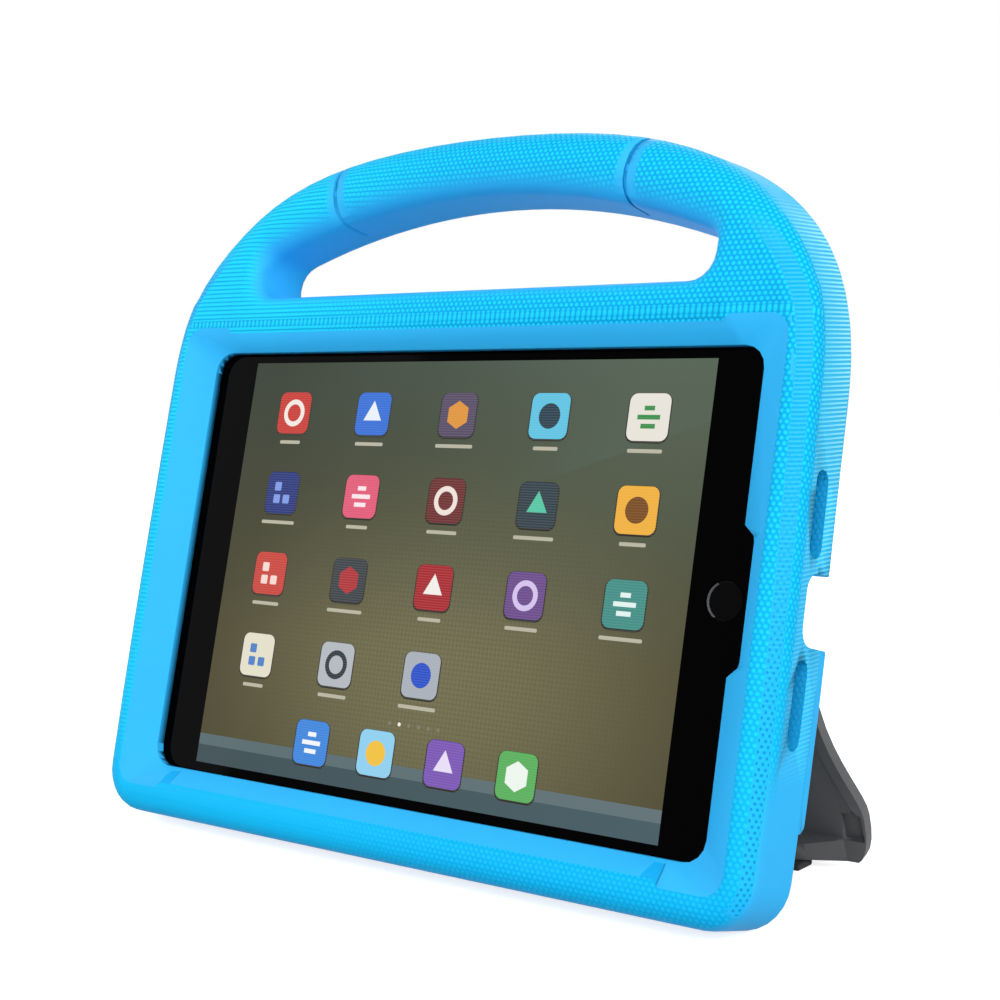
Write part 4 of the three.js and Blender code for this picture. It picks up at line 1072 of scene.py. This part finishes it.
@dataclass
class ScreenTiles:
    """The tiles of the screen's picture, thin enough to lie flush on the cover glass."""

    size: float = 12.4
    corner: float = 2.2
    columns: tuple[float, ...] = (-62.0, -31.0, 0.0, 31.0, 62.0)
    rows: tuple[float, ...] = (45.0, 21.0, -3.0, -27.0)
    dock: tuple[float, ...] = (-36.0, -12.0, 12.0, 36.0)
    dock_height: float = -49.5
    layer: float = 0.02
    caption_height: float = 1.0
    shadow: str = "#2b2a20"
    shadow_width: float = 0.7
    caption_tint: str = "#b9b6a2"
    models: dict[tuple, bpy.types.Object] = field(default_factory=dict)
    pieces: list[bpy.types.Object] = field(default_factory=list)

    tiles: tuple[Tile, ...] = (
        Tile("#c8352b", "#f3e9e2", Glyph.RING),
        Tile("#2f6fd6", "#e9f1fb", Glyph.PEAK),
        Tile("#574c66", "#e0963a", Glyph.STONE),
        Tile("#5fc4e2", "#26404e", Glyph.DISC),
        Tile("#e8e4da", "#3a8f4a", Glyph.BARS),
        Tile("#1c2f7a", "#7f9be6", Glyph.SQUARES),
        Tile("#e25a78", "#fbe7ec", Glyph.BARS),
        Tile("#6f2b2b", "#f1e3dc", Glyph.RING),
        Tile("#2f3f49", "#55c7a4", Glyph.PEAK),
        Tile("#f0b13a", "#7a4a12", Glyph.DISC),
        Tile("#c94034", "#f6d8d2", Glyph.SQUARES),
        Tile("#3b4147", "#b03036", Glyph.STONE),
        Tile("#a8232c", "#f4efe9", Glyph.PEAK),
        Tile("#6b4a8c", "#d7c3ee", Glyph.RING),
        Tile("#3f8f86", "#e3f4f0", Glyph.BARS),
        Tile("#e3dfc9", "#4b7fc4", Glyph.SQUARES),
        Tile("#b4bac0", "#2b3640", Glyph.RING),
        Tile("#a9b0ba", "#2450c8", Glyph.DISC),
    )
    dock_tiles: tuple[Tile, ...] = (
        Tile("#3a86dc", "#f2f6fb", Glyph.BARS),
        Tile("#8fd0f0", "#f2c23a", Glyph.DISC),
        Tile("#7a55b4", "#e9def6", Glyph.PEAK),
        Tile("#58b05a", "#eef7ee", Glyph.STONE),
    )

    def plate(
        self, x: float, z: float, width: float, height: float, corner: float, level: int, tint: str
    ) -> None:
        """Lay one rounded plate of the picture, modelled the first time that its size is needed."""
        size = (width, height, corner)
        if size not in self.models:
            bpy.ops.object.select_all(action="DESELECT")
            bpy.ops.mesh.primitive_plane_add(size=1.0, location=(0, 0, 0))
            model = bpy.context.object
            model.data.transform(Matrix.Diagonal((width, height, 1.0, 1.0)))
            if corner > 0:
                bpy.ops.object.mode_set(mode="EDIT")
                bpy.ops.mesh.select_all(action="SELECT")
                bpy.ops.mesh.bevel(offset=corner, segments=5, affect="VERTICES")
                bpy.ops.object.mode_set(mode="OBJECT")
            self.models[size] = model
        self.lay(self.models[size], x, z, level, tint)

    def polygon(self, x: float, z: float, radius: float, sides: int, level: int, tint: str) -> None:
        """Lay one disc, triangle or other regular shape, modelled the first time."""
        size = (radius, sides)
        if size not in self.models:
            bpy.ops.object.select_all(action="DESELECT")
            bpy.ops.mesh.primitive_circle_add(vertices=sides, radius=radius, fill_type="NGON")
            self.models[size] = bpy.context.object
        self.lay(self.models[size], x, z, level, tint)

    def lay(self, model: bpy.types.Object, x: float, z: float, level: int, tint: str) -> None:
        """Copy a flat shape with its own mesh, colour it and move it to its place."""
        piece = model.copy()
        piece.data = model.data.copy()
        bpy.context.scene.collection.objects.link(piece)
        colours = piece.data.color_attributes.new("tint", "FLOAT_COLOR", "CORNER")
        for corner in colours.data:
            corner.color = linear(tint)
        piece.data.transform(Matrix.Translation((x, z, self.layer * level)))
        self.pieces.append(piece)

    def sign(self, tile: Tile, x: float, z: float) -> None:
        """Lay a tile's sign."""
        half = self.size / 2
        if tile.glyph is Glyph.DISC:
            self.polygon(x, z, 0.56 * half, 24, 2, tile.sign)
        elif tile.glyph is Glyph.RING:
            self.polygon(x, z, 0.66 * half, 24, 2, tile.sign)
            self.polygon(x, z, 0.42 * half, 24, 3, tile.face)
        elif tile.glyph is Glyph.BARS:
            for step, width in ((-1, 0.7), (0, 1.1), (1, 0.5)):
                self.plate(x, z + 0.38 * half * step, width * half, 0.2 * half, 0.0, 2, tile.sign)
        elif tile.glyph is Glyph.PEAK:
            self.polygon(x, z, 0.62 * half, 3, 2, tile.sign)
        elif tile.glyph is Glyph.SQUARES:
            for side_x, side_z in ((-1, -1), (-1, 1), (1, -1)):
                self.plate(
                    x + 0.3 * half * side_x, z + 0.3 * half * side_z, 2.6, 2.6, 0.4, 2, tile.sign
                )
        else:
            self.polygon(x, z, 0.64 * half, 6, 2, tile.sign)

    def tile(self, tile: Tile, x: float, z: float, caption: float) -> None:
        """Lay one tile with its soft edge, its sign and a pale bar in a caption's place."""
        wide = self.size + self.shadow_width
        self.plate(x, z - 0.25, wide, wide, self.corner + 0.3, 0, self.shadow)
        self.plate(x, z, self.size, self.size, self.corner, 1, tile.face)
        self.sign(tile, x, z)
        if caption > 0:
            drop = self.size / 2 + 2.6
            self.plate(x, z - drop, caption, self.caption_height, 0.4, 1, self.caption_tint)

    def build(self) -> bpy.types.Object:
        """Lay all tiles, join them and set them on the cover glass.

        Returns:
            The picture's tiles as one object.
        """
        places = [(x, z) for z in self.rows for x in self.columns]
        for number, (tile, (x, z)) in enumerate(zip(self.tiles, places)):
            self.tile(tile, x, z, 8.0 + 2.5 * (number % 3))
        for tile, x in zip(self.dock_tiles, self.dock):
            self.tile(tile, x, self.dock_height, 0.0)
        for number in range(6):
            tint = "#f4f2e6" if number == 1 else "#7f7b68"
            self.polygon(3.4 * (number - 2.5), -40.8, 0.55, 12, 1, tint)
        for model in self.models.values():
            bpy.data.meshes.remove(model.data)
        select_only(*self.pieces)
        bpy.ops.object.join()
        piece = bpy.context.object
        piece.name = "screen_tiles"
        lay = Matrix.Rotation(math.radians(90), 4, "X")
        lift = Matrix.Translation((0.0, -self.layer, 0.0))
        piece.data.transform(CASE.to_scene() @ lift @ lay)
        piece.data.materials.clear()
        piece.data.materials.append(PictureFinish().material())
        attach(piece, CASE_BODY)
        LOG.info("screen_tiles has %d faces", len(piece.data.polygons))
        return piece


@dataclass
class Kickstand:
    """The folding stand with its two foot pads."""

    pad_round: float = 0.7

    def build(self, frame: dict) -> None:
        """Make the stand's copy and the pads' copies.
        """
        plastic = MouldedFinish().material()
        leg = SmoothCopy("kickstand", "stand_leg", STAND_BODY, "stand_plastic", 26.0)
        leg.build(frame, plastic)
        rubber = RubberFinish().material()
        for side in ("left", "right"):
            pad = SmoothCopy(f"foot_pad_{side}", f"sole_pad_{side}", STAND_BODY, "pad_rubber", 30.0)
            pad.edge_round = self.pad_round
            pad.edge_steps = 3
            pad.build(frame, rubber)
        for node in ("stand_base", "retainer_plate"):
            dress(frame, plastic, node)


@dataclass
class HomeKey:
    """The round key in the glass, whose sunk face lies to one side; the left of its chamfer is
    coloured grey as a painted highlight in a crescent, and the rest is black.
    """

    middle_x: float = 90.2
    radius: float = 5.0
    front: float = 0.15
    chamfer: float = 0.3
    sink: float = 0.2
    depth: float = 1.35
    land: float = 0.12
    aside: float = 0.24
    crescent: float = 0.45
    sides: int = 72

    def build(self, frame: dict, black: bpy.types.Material, highlight_finish: bpy.types.Material) -> None:
        """Make the key and let it stand for its node.

        Args:
            black: The face's finish.
            highlight_finish: The grey finish of the painted highlight on the left of the chamfer.
        """
        bpy.ops.object.select_all(action="DESELECT")
        bpy.ops.mesh.primitive_cylinder_add(
            vertices=self.sides, radius=self.radius, depth=self.depth, location=(0, 0, 0)
        )
        key = bpy.context.object
        key.name = "home_key"
        bpy.ops.object.mode_set(mode="EDIT")
        bpy.ops.mesh.select_mode(type="FACE")
        bpy.ops.mesh.select_all(action="DESELECT")
        bpy.ops.object.mode_set(mode="OBJECT")
        for face in key.data.polygons:
            face.select = face.normal.z > 0.9
        bpy.ops.object.mode_set(mode="EDIT")
        bpy.ops.mesh.inset(thickness=self.land, depth=0.0)
        bpy.ops.mesh.inset(thickness=self.chamfer, depth=-self.sink)
        bpy.ops.transform.translate(value=(self.aside, 0.0, 0.0))
        bpy.ops.object.mode_set(mode="OBJECT")
        key.data.materials.append(highlight_finish)
        key.data.materials.append(black)
        for face in key.data.polygons:
            # Painted highlight: only the slanted chamfer faces on the left get the grey finish, and
            # all other faces stay black.
            slanted = 0.1 < face.normal.z < 0.98
            painted_highlight = slanted and face.center.x < -self.crescent * self.radius
            face.material_index = 0 if painted_highlight else 1
        place = Matrix.Translation((self.middle_x, self.front + self.depth / 2, 0.0))
        key.data.transform(CASE.to_scene() @ place @ Matrix.Rotation(math.radians(90), 4, "X"))
        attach(key, "home_button")
        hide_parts("home_button")
        LOG.info("home_key stands for home_button with %d faces", len(key.data.polygons))


@dataclass
class Tablet:
    """The plain tablet in the case's pocket."""

    def build(self, frame: dict) -> None:
        """Dress the tablet's nodes and make its shell's smooth copy.
        """
        shell = MetalFinish("anodised_shell", "#4b4e54", 0.42).material()
        back = SmoothCopy("tablet_back_shell", "tablet_shell", CASE_BODY, "shell_metal", 28.0)
        back.build(frame, shell)
        dress(frame, shell, "rear_camera_ring", "power_button", "volume_up_button")
        dress(frame, shell, "volume_down_button", "mute_switch")
        dress(frame, ScreenGlassFinish().material(), "front_glass")
        black = GlossFinish().material()
        dress(frame, black, "front_camera", "rear_camera_lens")
        # The grey finish painted on the left of the home key's chamfer as a highlight.
        highlight_finish = MouldedFinish("key_painted_highlight", "#3a3b3d", "#434446").material()
        HomeKey().build(frame, black, highlight_finish)
        stack = MouldedFinish("display_stack", "#2a2c2e", "#333537").material()
        dress(frame, stack, "display_panel")
        pouch = BoardFinish("foil_pouch", "#1c1d20", "#2a2b2f").material()
        dress(frame, pouch, "battery_pack", "home_switch", "rear_camera_module")
        dress(frame, pouch, "speaker_upper", "speaker_lower")
        board = BoardFinish("circuit_board", "#1d3f2a", "#8a6a3a").material()
        dress(frame, board, "logic_board")
        ScreenTiles().build()


@dataclass
class Hardware:
    """Steel parts: hinge pins, screws and the linings of the two sockets."""

    def build(self, frame: dict) -> None:
        """Dress the steel nodes.
        """
        pins = MetalFinish("ground_steel", "#b9bcc0", 0.3, (0.2, 1.0, 1.0)).material()
        dress(frame, pins, "hinge_pin_left", "hinge_pin_right")
        plated = MetalFinish("plated_steel", "#a9adb2", 0.35).material()
        dress(frame, plated, *(f"base_screw_{number}" for number in (1, 2, 3, 4)))
        dress(frame, plated, "charging_port", "headphone_jack")


def dress(frame: dict, material: bpy.types.Material, *nodes: str) -> None:
    """Give CAD nodes a finish.

    Args:
        material: The finish.
        *nodes: The nodes' names.
    """
    for name in nodes:
        node = frame["nodes"][name]
        if not node.material_slots:
            node.data.materials.append(material)
        for slot in node.material_slots:
            slot.material = material
        LOG.info("%s is finished in %s", name, material.name)


@dataclass(frozen=True)
class SoftLight:
    """A large square lamp that looks at the case."""

    name: str
    place_m: tuple[float, float, float]
    size_m: float
    watts: float

    def build(self, target_m: Vector) -> None:
        """Add the lamp and turn it to the target."""
        lamp = bpy.data.lights.new(self.name, "AREA")
        lamp.shape = "SQUARE"
        lamp.size = self.size_m
        lamp.energy = self.watts
        holder = bpy.data.objects.new(self.name, lamp)
        bpy.context.scene.collection.objects.link(holder)
        holder.location = self.place_m
        holder.rotation_euler = (target_m - holder.location).to_track_quat("-Z", "Y").to_euler()


@dataclass
class Studio:
    """The pale floor, the white surround, the soft lamps and the camera."""

    camera_m: tuple[float, float, float] = (0.30512, -0.3855474, 0.1377238)
    right: tuple[float, float, float] = (0.79534, 0.606016, -0.013689)
    down: tuple[float, float, float] = (0.03828, -0.072748, -0.996621)
    lens: float = 63.87
    floor_m: float = 6.0
    surround: float = 0.15
    floor_glow: float = 0.72
    lamps: tuple[SoftLight, ...] = (
        SoftLight("front", (0.35, -1.3, 0.85), 1.0, 13.4),
        SoftLight("right", (1.36, -0.22, 0.75), 0.8, 12.6),
        SoftLight("left", (-1.25, -0.6, 0.6), 1.0, 7.6),
        SoftLight("low", (1.0, -1.0, 0.12), 0.4, 4.5),
        SoftLight("back", (-0.45, 1.35, 1.0), 1.0, 9.0),
    )

    def build(self) -> None:
        """Set up everything that isn't part of the object."""
        self.place_camera()
        self.lay_floor()
        self.light_world()
        target = Vector((0.0, 0.0, 0.09))
        for lamp in self.lamps:
            lamp.build(target)
        bpy.context.scene.view_settings.view_transform = "Standard"

    def place_camera(self) -> None:
        """Set the camera where the photograph was taken from."""
        lens = bpy.data.cameras.new("photo_camera")
        lens.lens = self.lens
        lens.sensor_width = 36.0
        lens.clip_start = 0.01
        camera = bpy.data.objects.new("photo_camera", lens)
        bpy.context.scene.collection.objects.link(camera)
        right = Vector(self.right)
        up = -Vector(self.down)
        turn = Matrix((right, up, right.cross(up))).transposed().to_4x4()
        camera.matrix_world = Matrix.Translation(self.camera_m) @ turn
        bpy.context.scene.camera = camera

    def lay_floor(self) -> None:
        """Lay the white floor just under the feet."""
        bpy.ops.object.select_all(action="DESELECT")
        bpy.ops.mesh.primitive_plane_add(size=self.floor_m, location=(0, 0, 0))
        floor = bpy.context.object
        floor.name = "studio_floor"
        shader = Shader("floor_paper")
        paper = shader.node("ShaderNodeBsdfDiffuse", {"Color": linear("#f4f4f4")})
        dim_paper = shader.node("ShaderNodeBsdfDiffuse", {"Color": linear("#b4b4b4")})
        place = shader.node("ShaderNodeTexCoord").outputs["Object"]
        away = shader.node("ShaderNodeVectorMath", {0: place}, operation="LENGTH").outputs["Value"]
        strength = shader.scaled(away, 0.16, 0.5, self.floor_glow, 1.0)
        glow = shader.node("ShaderNodeEmission", {"Color": linear("#ffffff"), "Strength": strength})
        lit = shader.node("ShaderNodeAddShader", {0: paper.outputs[0], 1: glow.outputs[0]})
        inputs = {0: shader.seen(), 1: dim_paper.outputs[0], 2: lit.outputs[0]}
        mix = shader.node("ShaderNodeMixShader", inputs)
        shader.node("ShaderNodeOutputMaterial", {"Surface": mix.outputs[0]})
        floor.data.materials.append(shader.owner)

    def light_world(self) -> None:
        """Make the surround white to the eye and softer as light."""
        shader = Shader("white_surround", world=True)
        soft, white = (
            shader.node("ShaderNodeBackground", {"Color": linear("#ffffff"), "Strength": strength})
            for strength in (self.surround, 1.0)
        )
        inputs = {0: shader.seen(), 1: soft.outputs[0], 2: white.outputs[0]}
        mix = shader.node("ShaderNodeMixShader", inputs)
        shader.node("ShaderNodeOutputWorld", {"Surface": mix.outputs[0]})
        bpy.context.scene.world = shader.owner


def main() -> None:
    """Build the scene piece by piece."""
    logging.basicConfig(level=logging.INFO, format="%(name)s: %(message)s")
    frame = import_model()
    Studio().build()
    FoamBody().build(frame, FoamFinish().material())
    Kickstand().build(frame)
    Tablet().build(frame)
    Hardware().build(frame)


if __name__ == "__main__":
    main()
